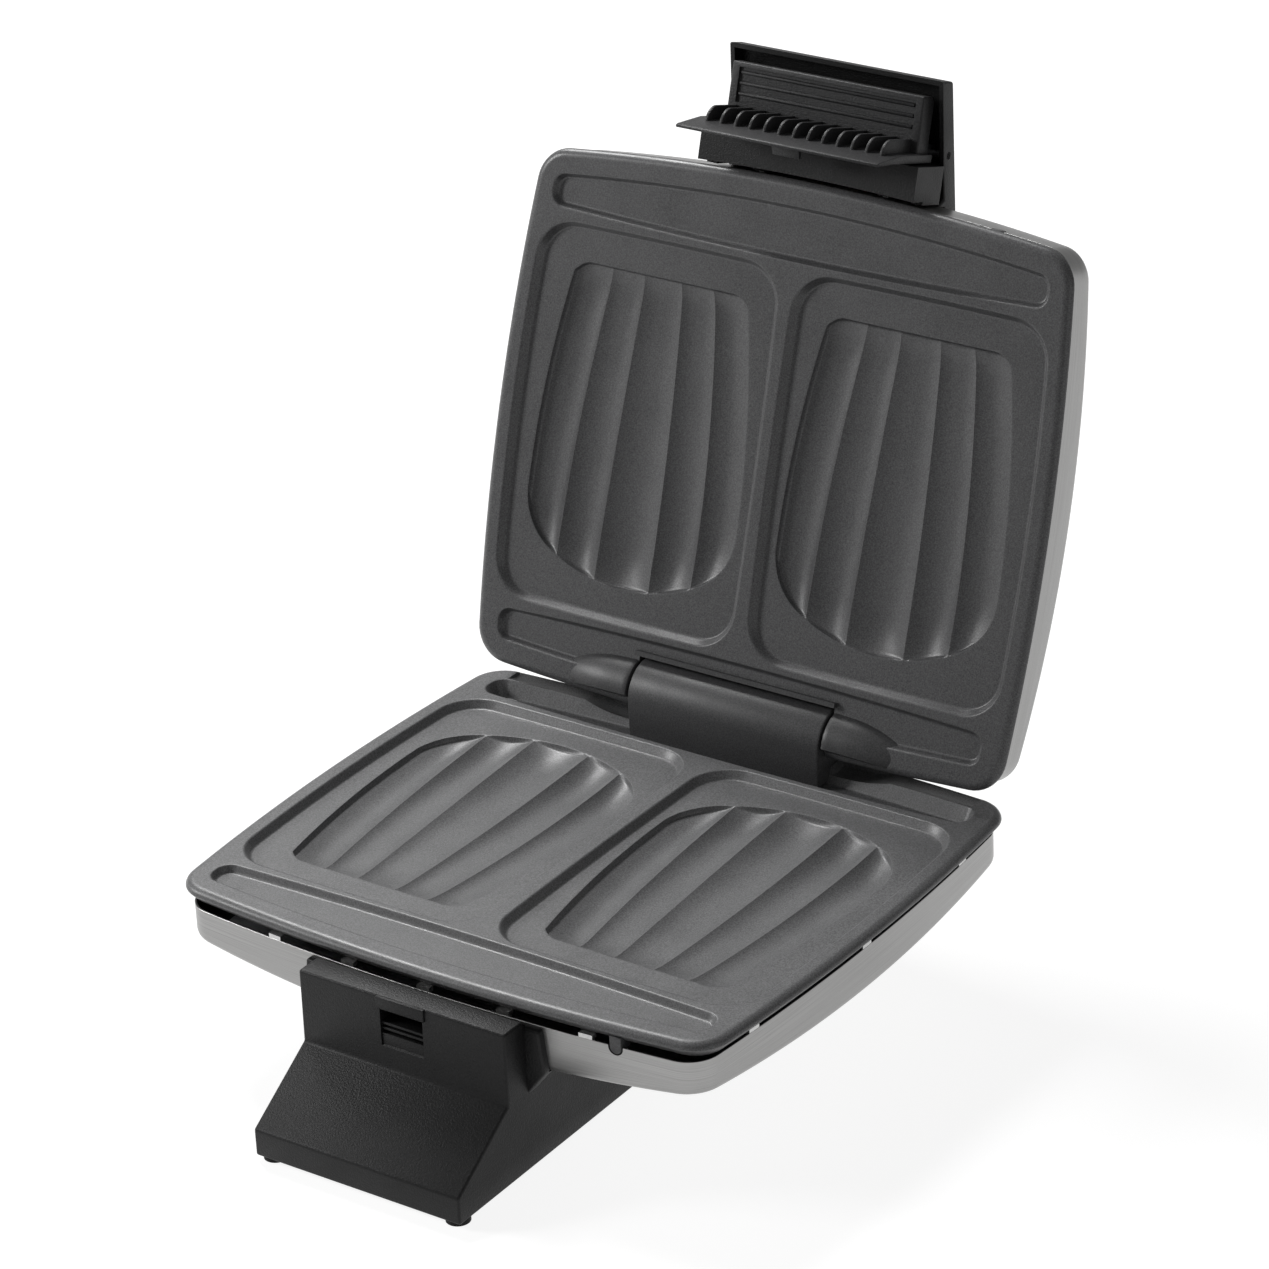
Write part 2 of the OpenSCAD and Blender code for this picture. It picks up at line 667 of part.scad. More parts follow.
module pedestal() color("#1b1b1c") difference() {
    union() {
        difference() {
            union() {
                along_x(2 * pedestal_half_w) pedestal_profile(0);
                translate([0, -pan_front + 5, 0]) rotate([90, 0, 0]) linear_extrude(7) polygon([
                    [-collar_half_w, -pan_rim - 1], [collar_half_w, -pan_rim - 1],
                    [collar_half_w + 2, -face_foot + 10], [pedestal_half_w - 1, -face_foot - 2],
                    [1 - pedestal_half_w, -face_foot - 2], [-collar_half_w - 2, -face_foot + 10]
                ]);
            }
            difference() {
                along_x(2 * (pedestal_half_w - pedestal_t)) pedestal_profile(pedestal_t);
                pan_space(pedestal_t);
            }
        }
        along_x(2 * pedestal_half_w - 1) polygon([
            [1 - apron_front, pedestal_foot], [1 - apron_front, pedestal_foot + pedestal_t],
            [front_shelf - apron_front, pedestal_foot + pedestal_t], [front_shelf - apron_front, pedestal_foot]
        ]);
        along_x(2 * pedestal_half_w - 1) polygon([
            [pedestal_rear - 1, pedestal_foot], [pedestal_rear - 1, pedestal_foot + pedestal_t],
            [pedestal_rear - rear_shelf, pedestal_foot + pedestal_t], [pedestal_rear - rear_shelf, pedestal_foot]
        ]);
        along_x(2 * recess_half_w + 2 * pedestal_t) polygon([
            [-pedestal_face - lip_out / 4, -pedestal_top], [-pedestal_face, -recess_foot - pedestal_t],
            [-pedestal_face + recess_depth + pedestal_t, -recess_foot - pedestal_t],
            [-pedestal_face + recess_depth + pedestal_t, -pedestal_top]
        ]);
        along_x(2 * lip_half_w) polygon([
            [-pedestal_face - lip_out, -pedestal_top], [-pedestal_face - lip_out, -recess_top],
            [-pedestal_face + 1, -recess_top], [-pedestal_face + 1, -pedestal_top]
        ]);
        for (y = [-apron_front + cover_screw_front, pedestal_rear - cover_screw_rear], s = [-1, 1])
            translate([s * cover_screw_x, y, pedestal_foot + cover_recess + base_cover_t])
                cylinder(h = 9, r = 4, $fn = small_fn);
        intersection() {
            at_pillars() translate([0, 0, screw_boss_z]) cylinder(h = 30, r = 4.5, $fn = small_fn);
            difference() {
                along_x(2 * pedestal_half_w) pedestal_profile(0);
                pan_space();
            }
        }
    }
    pan_space();
    bowed_block(plate_edges, plate_corners, -pan_rim, 5, 0.8, 0.8);
    along_x(2 * recess_half_w) polygon([
        [-pedestal_face - 2, -recess_top], [-pedestal_face + recess_depth, -recess_top],
        [-pedestal_face + recess_depth, -(recess_top + recess_foot) / 2],
        [-pedestal_face - 2, -recess_foot]
    ]);
    translate([0, grommet_y, -pan_depth - 12]) cylinder(h = 20, r = grommet_r + 1, $fn = small_fn);
    at_pillars() translate([0, 0, screw_boss_z - 1]) cylinder(h = 24, r = 2, $fn = small_fn);
    for (y = [-apron_front + cover_screw_front, pedestal_rear - cover_screw_rear], s = [-1, 1])
        translate([s * cover_screw_x, y, pedestal_foot]) cylinder(h = 9, r = 1.6, $fn = small_fn);
    translate([0, cord_y + 1, cord_z]) rotate([90, 0, 0]) cylinder(h = 6, r = cord_r + 2.1, $fn = small_fn);
}

module base_cover() color("#202021") difference() {
    y0 = front_shelf - apron_front + base_cover_gap;
    y1 = pedestal_rear - rear_shelf - base_cover_gap;
    half = pedestal_half_w - pedestal_t - base_cover_gap;
    translate([-half, y0, pedestal_foot + cover_recess]) cube([2 * half, y1 - y0, base_cover_t]);
    for (y = [-apron_front + cover_screw_front, pedestal_rear - cover_screw_rear], s = [-1, 1])
        translate([s * cover_screw_x, y, pedestal_foot]) cylinder(h = 9, r = 1.8, $fn = small_fn);
    for (i = [-3 : 3]) translate([i * 9 - 1.5, -50, pedestal_foot]) cube([3, 50, 6]);
}

module rubber_feet() color("#141414")
    for (y = [-apron_front + foot_r + 1, pedestal_rear - foot_r - 1], s = [-1, 1])
        translate([s * (pedestal_half_w - foot_r - 0.4), y, table_z]) cylinder(h = foot_h, r = foot_r, $fn = small_fn);

module base_screws() color("#8d8f91")
    for (y = [-apron_front + cover_screw_front, pedestal_rear - cover_screw_rear], s = [-1, 1])
        translate([s * cover_screw_x, y, pedestal_foot + cover_recess]) {
            translate([0, 0, -1.6]) cylinder(h = 1.6, r = 3, $fn = small_fn);
            cylinder(h = 7, r = 1.5, $fn = small_fn);
        }

module cord_bush() color("#161617") translate([0, cord_y, cord_z]) rotate([90, 0, 0]) difference() {
    union() {
        translate([0, 0, -2.5]) cylinder(h = 2.5, r = cord_r + 4, $fn = small_fn);
        cylinder(h = 12, r = cord_r + 2, $fn = small_fn);
        translate([0, 0, pedestal_t]) cylinder(h = 2, r = cord_r + 3.4, $fn = small_fn);
    }
    translate([0, 0, -4]) cylinder(h = 18, r = cord_r, $fn = small_fn);
}

module pan_shell() difference() {
    pan_space();
    pan_inside();
    lug(lug_gap);
}

module lower_pan() color("#b4b5b6") difference() {
    pan_shell();
    translate([0, grommet_y, -pan_depth - 2]) cylinder(h = 6, r = grommet_r, $fn = small_fn);
    at_pillars() translate([0, 0, -pan_depth - 2]) cylinder(h = 12, r = 2, $fn = small_fn);
}

module wire_grommet() color("#121213") difference() {
    translate([0, grommet_y, -pan_depth]) union() {
        translate([0, 0, -1.6]) cylinder(h = 4.4, r = grommet_r - 0.1, $fn = small_fn);
        translate([0, 0, 1.5]) cylinder(h = 1.8, r = grommet_r + 2.4, $fn = small_fn);
    }
    translate([0, grommet_y, -pan_depth - 5]) cylinder(h = 12, r = grommet_r - 3, $fn = small_fn);
}

module terminal_block() color("#e6e2d6") difference() {
    intersection() {
        translate([-22, block_y - 8, -pan_depth]) cube([44, 16, pan_depth - reflector_z - 2]);
        pan_inside();
    }
    for (x = [-terminal_x, 0, terminal_x]) {
        translate([x, block_y - 12, -28]) rotate([-90, 0, 0]) cylinder(h = 13, r = 2.6, $fn = small_fn);
        translate([x, block_y - 4, -28]) cylinder(h = 20, r = 1.8, $fn = small_fn);
    }
}

module lower_plate() color("#4b4c4e") difference() {
    union() {
        plate_casting(deep_gutter_depth);
        difference() {
            bowed_block(rear_gutter_edges, gutter_corners, -deep_gutter_depth - 2, -rim_h + 1, 0, 2.4);
            bowed_block(rear_gutter_edges, gutter_corners, -deep_gutter_depth, eps, -deep_gutter_depth / 2, 0);
        }
        along_x(2 * barrel_half) barrel_profile();
    }
    both_sides() translate([knuckle_start - 4, hinge_y, base_axis_z - 4 * tan(knuckle_lift)])
        rotate([0, 90 - knuckle_lift, 0]) cylinder(h = knuckle_len + 20, r = barrel_r + knuckle_room, $fn = round_fn);
    both_sides() rod_x(edge_path_r, knuckle_start, relief_half_w, hinge_y, base_axis_z);
    both_sides() rod_x(pin_r + pin_fit, barrel_hollow_half - 1, barrel_half + 1, hinge_y, base_axis_z);
    barrel_passage();
}

module lower_rim_tabs() color("#c9cbcc") rim_tabs();

// Long screws that go up through pedestal and pan into the plate
module plate_screws() color("#8d8f91") at_pillars() {
    translate([0, 0, screw_boss_z]) cylinder(h = -screw_boss_z - 20, r = 1.7, $fn = small_fn);
    translate([0, 0, screw_boss_z - 2]) cylinder(h = 2, r = 3.6, $fn = small_fn);
}

module thermostat() color("#c8bfa8") {
    translate([0, -62, -slab_back - 9]) cylinder(h = 9, r = 9, $fn = small_fn);
    translate([-13, -65, -slab_back - 1]) cube([26, 6, 1]);
    for (s = [-1, 1]) translate([s * 4 - 1.5, -62.4, -slab_back - 13]) cube([3, 0.8, 4]);
}

module thermal_fuse() color("#d8d3c4") {
    translate([0, 8, -slab_back - 2.6]) rotate([-90, 0, 0]) cylinder(h = 16, r = 2.6, $fn = small_fn);
    translate([-4.5, 14, -slab_back - 6]) difference() {
        cube([9, 4, 6]);
        translate([4.5, -1, 3.4]) rotate([-90, 0, 0]) cylinder(h = 6, r = 2.62, $fn = small_fn);
        translate([4.5 - 2.62, -1, 3.4]) cube([5.24, 6, 4]);
    }
}

module supply_leads() color("#e8e4da") both_sides() lead([
    [terminal_x, block_y + 8, -28], [terminal_x, terminal_y + 14, -28],
    [terminal_x, terminal_y + 14, -element_z], [terminal_x, terminal_y, -element_z]
], lead_r);

module lid_lead_base() color("#dcd8cd") lead([
    [0, block_y + 8.1, -27.5], [0, hinge_y, -26.5],
    [0, hinge_y, base_axis_z], [knuckle_start + 11, hinge_y, base_axis_z]
], lid_lead_r);

module hinge_pin() color("#9b9da0")
    rod_x(pin_r, -pin_start - pin_len / 2, -pin_start + pin_len / 2, hinge_y, base_axis_z);

module hinge_tube() color("#9b9da0") difference() {
    rod_x(pin_r, pin_start - pin_len / 2, pin_start + pin_len / 2, hinge_y, base_axis_z);
    rod_x(tube_bore_r, pin_start - pin_len, pin_start + pin_len, hinge_y, base_axis_z);
}

// The lid's lead, drawn beside the shut lid
module lid_lead_path(r) {
    lead([
        [knuckle_start + 11.4, hinge_y, lid_axis_z], [lead_turn_x, hinge_y, lid_axis_z],
        [lead_turn_x, hinge_y, 17], [lead_turn_x, terminal_y + 12, 17],
        [terminal_x, terminal_y + 12, 17], [terminal_x, terminal_y + 5, element_z],
        [terminal_x, terminal_y, element_z]
    ], r);
}

module hood_profile(grow) {
    circle(hood_r + grow, $fn = round_fn * 2);
    translate([-hood_r - grow, -lid_axis_z]) square([hood_r + grow, lid_axis_z]);
}

module lid_plate() color("#4b4c4e") {
    difference() {
        union() {
            mirror([0, 0, 1]) plate_casting(gutter_depth);
            intersection() {
                translate([0, hinge_y, lid_axis_z]) along_x(2 * knuckle_start + 2) hood_profile(hood_t);
                translate([-100, 0, 0]) cube([200, pan_rear - sheet - 1, 60]);
            }
            both_sides() knuckle(knuckle_start, lid_axis_z);
        }
        translate([0, hinge_y, lid_axis_z]) along_x(2 * knuckle_start) hood_profile(0);
        translate([-knuckle_start, hinge_y - hood_r, -5]) cube([2 * knuckle_start, 60, 5 + lid_axis_z]);
        both_sides() rod_x(pin_r + pin_fit, barrel_half, pin_start + pin_len / 2 + 0.5, hinge_y, lid_axis_z);
        lid_lead_path(lid_lead_r + 0.5);
    }
}

module lid_pan() color("#b4b5b6") difference() {
    mirror([0, 0, 1]) pan_shell();
    at_pillars([-pillar_front]) translate([0, 0, pan_depth - 14]) cylinder(h = 16, r = 2, $fn = small_fn);
    both_sides() knuckle(knuckle_start, lid_axis_z, 0.5);
    rod_x(hood_r + 0.6, -knuckle_start, knuckle_start, hinge_y, lid_axis_z);
    translate([-knuckle_start, hinge_y - 10, 0]) cube([2 * knuckle_start, 40, lid_axis_z]);
    for (s = [-1, 1]) translate([s * 30, -pan_front - 3, 18]) rotate([-90, 0, 0]) cylinder(h = 8, r = 1.8, $fn = small_fn);
}

module lid_rim_tabs() color("#c9cbcc") mirror([0, 0, 1]) rim_tabs();
module lid_element() mirror([0, 0, 1]) element();
module lid_clamps() mirror([0, 0, 1]) clamps();
module lid_clamp_screws() mirror([0, 0, 1]) clamp_screws();
module lid_reflector() mirror([0, 0, 1]) reflector();
// Two screws under the handle cover hold the pan to the lid plate
module lid_screws() color("#8d8f91") mirror([0, 0, 1]) at_pillars([-pillar_front]) {
    near = norm([pillar_x, pillar_front]) - screw_head_r;
    seat = near * near / (2 * dome_r) - pan_depth;
    translate([0, 0, seat]) cylinder(h = -seat - 20, r = 1.7, $fn = small_fn);
    translate([0, 0, seat - 1.8]) cylinder(h = 1.8, r = screw_head_r, $fn = small_fn);
}

module lid_lead_end() color("#dcd8cd") lid_lead_path(lid_lead_r);

// Side view of the handle cover
module cover_profile(t) polygon([
    [t - cover_front, cover_front_z - skirt_h - t],
    [t - cover_front, cover_top(t - cover_front) - t],
    [-crest_y - 6, cover_top(-crest_y - 6) - t],
    [-crest_y + 3, crest_z - t * 1.02],
    [-cover_tail - t, pan_depth - 1 - t * 0.4],
    [-cover_tail - t, pan_depth - 8],
    [-pan_front + 1, pan_rim + 15],
    [-pan_front - 1.5, cover_top(-pan_front) - skirt_h - t]
]);

module handle_cover() color("#1b1b1c") difference() {
    along_x(2 * cover_half_w) cover_profile(0);
    along_x(2 * (cover_half_w - cover_t)) cover_profile(cover_t);
    mirror([0, 0, 1]) pan_space();
    rod_x(pivot_r + 0.05, -80, 80, -pivot_y, pivot_z);
    for (s = [-1, 1]) lens_place(s) cylinder(h = 10, r = lens_r + 0.1, center = true, $fn = small_fn);
}

module lens_place(s) translate([s * lens_x, -lens_y, cover_top(-lens_y)]) rotate([atan(cover_slope), 0, 0]) children();

module pilot_lenses() color("#b3201c") for (s = [-1, 1]) lens_place(s) {
    translate([0, 0, -cover_t - 1]) cylinder(h = cover_t + 1.6, r = lens_r, $fn = small_fn);
    translate([0, 0, -cover_t - 2]) cylinder(h = 1, r = lens_r + 1, $fn = small_fn);
}

module pilot_lamps() color("#f0d9b0") for (s = [-1, 1]) lens_place(s)
    translate([0, 0, -cover_t - 2 - 9]) cylinder(h = 9, r = lens_r - 0.8, $fn = small_fn);

module frame_profile(t) polygon([
    [t - frame_face, frame_low + t], [-pan_front, frame_low + t],
    [-pan_front, cover_top(-pan_front) - cover_t - 0.1 + t * 2],
    [t - frame_face, cover_top(-frame_face) - cover_t - 0.1 + t * 2]
]);

module handle_frame() color("#19191a") difference() {
    intersection() {
        union() {
            difference() {
                along_x(2 * (cover_half_w - cover_t - 0.2)) frame_profile(0);
                along_x(2 * (cover_half_w - cover_t - 2.4)) frame_profile(2);
            }
            difference() {
                along_x(2 * frame_half_w) frame_profile(0);
                along_x(2 * (frame_half_w - 2.4)) frame_profile(2);
                translate([-100, -200, cover_top(-frame_face) - skirt_h - 0.5]) cube([200, 200, 60]);
            }
            for (s = [-1, 1]) translate([s * 30, -pan_front, 18]) rotate([90, 0, 0])
                cylinder(h = frame_face - pan_front, r = 4, $fn = small_fn);
        }
        along_x(200) frame_profile(0);
    }
    mirror([0, 0, 1]) pan_space();
    mirror([0, 0, 1]) bowed_block(plate_edges, plate_corners, -pan_rim - 0.4, 5, 1.6, 1.6);
    for (s = [-1, 1]) translate([s * 30, -pan_front + 1, 18]) rotate([90, 0, 0]) cylinder(h = 10, r = 1.6, $fn = small_fn);
}

module handle_screws() color("#8d8f91") for (s = [-1, 1]) {
    inner = pan_front - 30 * 30 / (2 * front_bow) - sheet;
    translate([s * 30, -inner, 18]) rotate([90, 0, 0]) cylinder(h = 8, r = 1.5, $fn = small_fn);
    intersection() {
        translate([s * 30, 2 - inner, 18]) rotate([90, 0, 0]) cylinder(h = 3, r = 3.2, $fn = small_fn);
        mirror([0, 0, 1]) pan_inside();
    }
}

module latch_pin() color("#9b9da0") rod_x(pivot_r, -cover_half_w, cover_half_w, -pivot_y, pivot_z);

// A coil round the pivot that holds the grip away from the cover
module latch_spring() color("#a9abad") {
    coil_r = pivot_r + 0.1 + 2 * spring_wire;
    difference() {
        rod_x(coil_r, -8, 8, -pivot_y, pivot_z);
        rod_x(pivot_r + 0.1, -9, 9, -pivot_y, pivot_z);
    }
    translate([-7, -pivot_y, pivot_z]) lead([
        [0, coil_r - spring_wire, 0], [0, coil_r - spring_wire, grip_high + 1.5 - pivot_z],
        [0, -3.5, grip_high + 1.5 - pivot_z]
    ], spring_wire);
    translate([7, -pivot_y, pivot_z]) lead([
        [0, spring_wire - coil_r, 0], [0, spring_wire - coil_r, cover_top(-pivot_y) - cover_t - 1.6 - pivot_z]
    ], spring_wire);
}

module latch_lever() color("#1e1e1f") difference() {
    union() {
        along_x(2 * leg_half_w) polygon([
            [-leg_front, grip_high], [-leg_back, grip_high], [-leg_back, -leg_drop + 2],
            [-leg_back - leg_t / 2, -leg_drop], [-leg_back - leg_t * 0.6, -leg_drop], [-leg_front, -leg_drop + 6]
        ]);
        along_x(2 * grip_half_w) polygon([
            [-leg_back, grip_low], [-leg_back, grip_high], [-grip_front + 2, grip_high],
            [-grip_front, grip_high - 2], [-grip_front, grip_low]
        ]);
        for (i = [0 : fin_count - 1]) translate([(i - (fin_count - 1) / 2) * fin_pitch, 0, 0]) fin();
        for (s = [-1, 1]) translate([s * ear_x, 0, 0]) along_x(ear_t) union() {
            translate([-pivot_y, pivot_z]) circle(ear_r, $fn = round_fn);
            polygon([
                [-pivot_y - ear_r, pivot_z], [-pivot_y - ear_r - 2, grip_high - 1],
                [-leg_back, grip_high - 1], [-leg_back, pivot_z - 3], [-pivot_y + ear_r, pivot_z]
            ]);
        }
        along_x(2 * hook_half_w) polygon([
            [-leg_back - 1, hook_top], [-pedestal_face + hook_reach, hook_top],
            [-pedestal_face + hook_reach, hook_top - 1.2], [-leg_back - 1, hook_top - hook_h]
        ]);
    }
    rod_x(pivot_r + 0.08, -80, 80, -pivot_y, pivot_z);
    groove_pitch = (grip_front - leg_front - fin_out - 4) / groove_count;
    for (i = [1 : groove_count]) translate([0, -grip_front + i * groove_pitch, grip_low]) rotate([0, 90, 0])
        cylinder(h = 2 * grip_half_w - 10, r = 1, center = true, $fn = small_fn);
}

module fin() along_x(fin_t) intersection() {
    union() {
        translate([-leg_front - fin_out, grip_low - fin_drop + fin_out]) square([fin_out + 1, fin_drop + 1 - fin_out]);
        translate([-leg_front, grip_low - fin_drop + fin_out]) circle(fin_out, $fn = round_fn);
    }
    translate([-leg_front - fin_out, grip_low - fin_drop]) square([fin_out + 1, fin_drop + 1]);
}

module on_base() translate([0, plate_y, base_lift]) children();

module on_lid()
    translate([0, plate_y + hinge_y, stand_h + hinge_z]) rotate([-open_angle, 0, 0])
        translate([0, -hinge_y, parting_gap / 2 - hinge_z]) children();

on_base() pedestal();
on_base() base_cover();
on_base() rubber_feet();
on_base() base_screws();
on_base() cord_bush();
on_base() lower_pan();
on_base() wire_grommet();
on_base() terminal_block();
on_base() lower_plate();
on_base() lower_rim_tabs();
on_base() plate_screws();
on_base() element();  // lower_element
on_base() clamps();  // lower_clamps
on_base() clamp_screws();  // lower_clamp_screws
on_base() reflector();  // lower_reflector
on_base() thermostat();
on_base() thermal_fuse();
on_base() supply_leads();
on_base() lid_lead_base();
on_base() hinge_pin();
on_base() hinge_tube();
on_lid() lid_plate();
on_lid() lid_pan();
on_lid() lid_rim_tabs();
on_lid() lid_element();
on_lid() lid_clamps();
on_lid() lid_clamp_screws();
on_lid() lid_reflector();
on_lid() lid_screws();
on_lid() lid_lead_end();
on_lid() handle_frame();
on_lid() handle_cover();
on_lid() handle_screws();
on_lid() pilot_lenses();
on_lid() pilot_lamps();
on_lid() latch_pin();
on_lid() latch_spring();
on_lid() latch_lever();
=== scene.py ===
# %% [markdown]
# # A sandwich toaster, dressed part by part
# The solid model already fixes every size, joint and place. This lesson puts the look on it: coated
# castings with soft edges, brushed steel pans, grained black plastic, and the light that shows
# them. We load the solids first.

# %% Load the frame
import math
import bpy
import bmesh
from mathutils import Matrix, Vector
from mathutils.geometry import delaunay_2d_cdt


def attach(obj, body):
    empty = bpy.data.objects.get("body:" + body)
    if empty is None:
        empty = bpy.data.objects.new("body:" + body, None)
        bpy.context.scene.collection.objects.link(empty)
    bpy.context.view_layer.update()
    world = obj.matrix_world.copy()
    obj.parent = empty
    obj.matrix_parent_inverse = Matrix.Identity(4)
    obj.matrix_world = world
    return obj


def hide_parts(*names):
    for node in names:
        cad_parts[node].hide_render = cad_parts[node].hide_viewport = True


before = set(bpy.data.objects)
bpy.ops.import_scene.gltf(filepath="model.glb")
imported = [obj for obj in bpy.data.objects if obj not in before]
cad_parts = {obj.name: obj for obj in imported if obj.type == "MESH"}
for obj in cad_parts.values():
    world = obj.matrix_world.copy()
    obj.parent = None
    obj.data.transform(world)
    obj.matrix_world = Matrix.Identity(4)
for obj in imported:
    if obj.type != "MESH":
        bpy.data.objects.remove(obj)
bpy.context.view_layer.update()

# %% [markdown]
# ## Three ways to place a piece
# Each part is drawn round the middle of its cooking plate, in millimetres, with the plate's face at
# z = 0. Base parts only move up to the table's height. Lid parts are drawn as if the lid were shut,
# and are then swung open about the hinge line. Working in the shut position keeps the numbers as
# simple as on a drawing.

# %% Places of the base and of the open lid
PLATE_Y = -19.787604719            # the plate's middle, front to back
FACE_Z = 74.9                      # the lower plate's face above the table
HINGE_Y = 108.7                    # the hinge line behind the plate's middle
HINGE_Z = 85.1                     # the hinge line above the table
AXIS_BASE, AXIS_LID = 10.2, 9.6    # the hinge line above each plate's own face
OPEN = math.radians(107.8)


def on_base(p):
    return Vector((p[0], p[1] + PLATE_Y, p[2] + FACE_Z)) / 1000


def on_lid(p):
    y, z = p[1] - HINGE_Y, p[2] - AXIS_LID
    return Vector((p[0], PLATE_Y + HINGE_Y + y * math.cos(OPEN) + z * math.sin(OPEN),
                   HINGE_Z - y * math.sin(OPEN) + z * math.cos(OPEN))) / 1000


def lid_flip(p):
    """A point of a casting drawn face up, turned over to face down on the lid."""
    return on_lid((p[0], p[1], -p[2]))


print("hinge line at", tuple(round(v, 4) for v in on_base((0, HINGE_Y, AXIS_BASE))))

# %% [markdown]
# ## A small sheet-metal shop
# Castings and pans are built from rings: closed lines of points that follow an outline at a known
# height. Two rings with the same number of points are joined by a band of quads, and flat land
# between rings is filled by a constrained triangulation. A displaced grid would be simpler, but it
# would fray at every bowed edge; rings keep every rim crisp and even.

# %% Rings, bands and flat fills


def finished(name, bm):
    """Turns every face outwards and makes the mesh."""
    bmesh.ops.recalc_face_normals(bm, faces=bm.faces)
    mesh = bpy.data.meshes.new(name)
    bm.to_mesh(mesh)
    bm.free()
    return mesh


class Shop:
    """Collects points and faces in millimetres, and makes one mesh of them."""

    def __init__(self):
        self.points, self.faces, self.coords = [], [], []

    def ring(self, flat, z, uv=None):
        first = len(self.points)
        for i, p in enumerate(flat):
            self.points.append((p[0], p[1], z(p) if callable(z) else z))
            self.coords.append(uv[i] if uv else (p[0], p[1]))
        return list(range(first, len(self.points)))

    def band(self, a, b, closed=True):
        n = len(a)
        for i in range(n if closed else n - 1):
            j = (i + 1) % n
            self.faces.append((a[i], a[j], b[j], b[i]))

    def fill(self, outer, holes=()):
        loops = [outer, *holes]
        order = [i for loop in loops for i in loop]
        edges, start = [], 0
        for loop in loops:
            edges += [(start + k, start + (k + 1) % len(loop)) for k in range(len(loop))]
            start += len(loop)
        flat = [Vector(self.points[i][:2]) for i in order]
        _, _, tris, origin, _, _ = delaunay_2d_cdt(flat, edges, [], 0, 1e-6)
        shapes = [[self.points[i][:2] for i in loop] for loop in loops]
        for t in tris:
            ids = [order[origin[v][0]] for v in t]
            c = [sum(self.points[i][k] for i in ids) / 3 for k in (0, 1)]
            if within(c, shapes[0]) and not any(within(c, s) for s in shapes[1:]):
                self.faces.append(tuple(ids))

    def mesh(self, name, place):
        bm = bmesh.new()
        verts = [bm.verts.new(place(p)) for p in self.points]
        layer = bm.loops.layers.uv.new("grain")
        for f in self.faces:
            try:
                face = bm.faces.new([verts[i] for i in f])
            except ValueError:
                continue
            for loop, i in zip(face.loops, f):
                loop[layer].uv = (self.coords[i][0] / 1000, self.coords[i][1] / 1000)
        bmesh.ops.remove_doubles(bm, verts=bm.verts, dist=2e-6)
        loose = [v for v in bm.verts if not v.link_faces]
        bmesh.ops.delete(bm, geom=loose, context="VERTS")
        return finished(name, bm)


def within(p, poly):
    """True if the point lies inside: a ray from it then crosses the line an odd number of times."""
    inside = False
    for i, a in enumerate(poly):
        b = poly[i - 1]
        if (a[1] > p[1]) != (b[1] > p[1]):
            if p[0] < (b[0] - a[0]) * (p[1] - a[1]) / (b[1] - a[1]) + a[0]:
                inside = not inside
    return inside


print("shop ready")

# %% [markdown]
# ## Bowed outlines
# No edge of this toaster is quite straight. Each outline is four shallow arcs (right, rear, left,
# front) with a round corner between neighbours. An outline that is inset keeps its arc centres and
# gives up radius, exactly as a cutter that follows the same line with a bigger tool would leave it.

# %% Outline of four arcs and four round corners
CORNER_WAYS = [(1, 1), (-1, 1), (-1, -1), (1, -1)]    # which way each corner points
LEAST_CORNER = 0.25
BOWS = (1050, 2000, 1050, 1100)    # radius of the right, rear, left and front arc


def corner_rounds(edges, corners, inset):
    """Centre and radius of each round corner, which touches the arcs on both sides of it."""
    rounds = []
    for i, way in enumerate(CORNER_WAYS):
        a, b = edges[i], edges[(i + 1) % 4]
        rc = max(corners[i] - inset, LEAST_CORNER)
        p, q = a[2] - inset - rc, b[2] - inset - rc
        d = Vector((b[0] - a[0], b[1] - a[1]))
        u = d.normalized()
        t = (p * p - q * q + d.length_squared) / (2 * d.length)
        h = math.sqrt(max(p * p - t * t, 0))
        both = [Vector((a[0] + t * u.x + k * h * u.y, a[1] + t * u.y - k * h * u.x)) for k in (1, -1)]
        rounds.append((max(both, key=lambda m: m.dot(Vector(way))), rc))
    return rounds


def swept(x, y, r, start, end, steps):
    """Points of an arc from one direction to the next, anticlockwise, without the last point."""
    a0, a1 = math.atan2(start.y, start.x), math.atan2(end.y, end.x)
    if a1 < a0:
        a1 += 2 * math.pi
    angles = [a0 + (a1 - a0) * k / steps for k in range(steps)]
    return [(x + r * math.cos(a), y + r * math.sin(a)) for a in angles]


def bowed(edges, corners, inset=0.0, steps=26, turn=10):
    """Points of the outline, anticlockwise. An edge is (x, y of its arc's centre, radius)."""
    rounds = corner_rounds(edges, corners, inset)
    out = []
    for i, (x, y, r) in enumerate(edges):
        centre, following = Vector((x, y)), Vector(edges[(i + 1) % 4][:2])
        corner, rc = rounds[i]
        out += swept(x, y, r - inset, rounds[i - 1][0] - centre, corner - centre, steps)
        out += swept(corner.x, corner.y, rc, corner - centre, corner - following, turn)
    return out


def edge_set(half_width, half_depth, mid_y=8):
    """The four arcs of an outline that is centred on the plate's middle."""
    right, rear, left, front = BOWS
    return [(half_width - right, mid_y, right), (0, half_depth - rear, rear),
            (left - half_width, mid_y, left), (0, front - half_depth, front)]


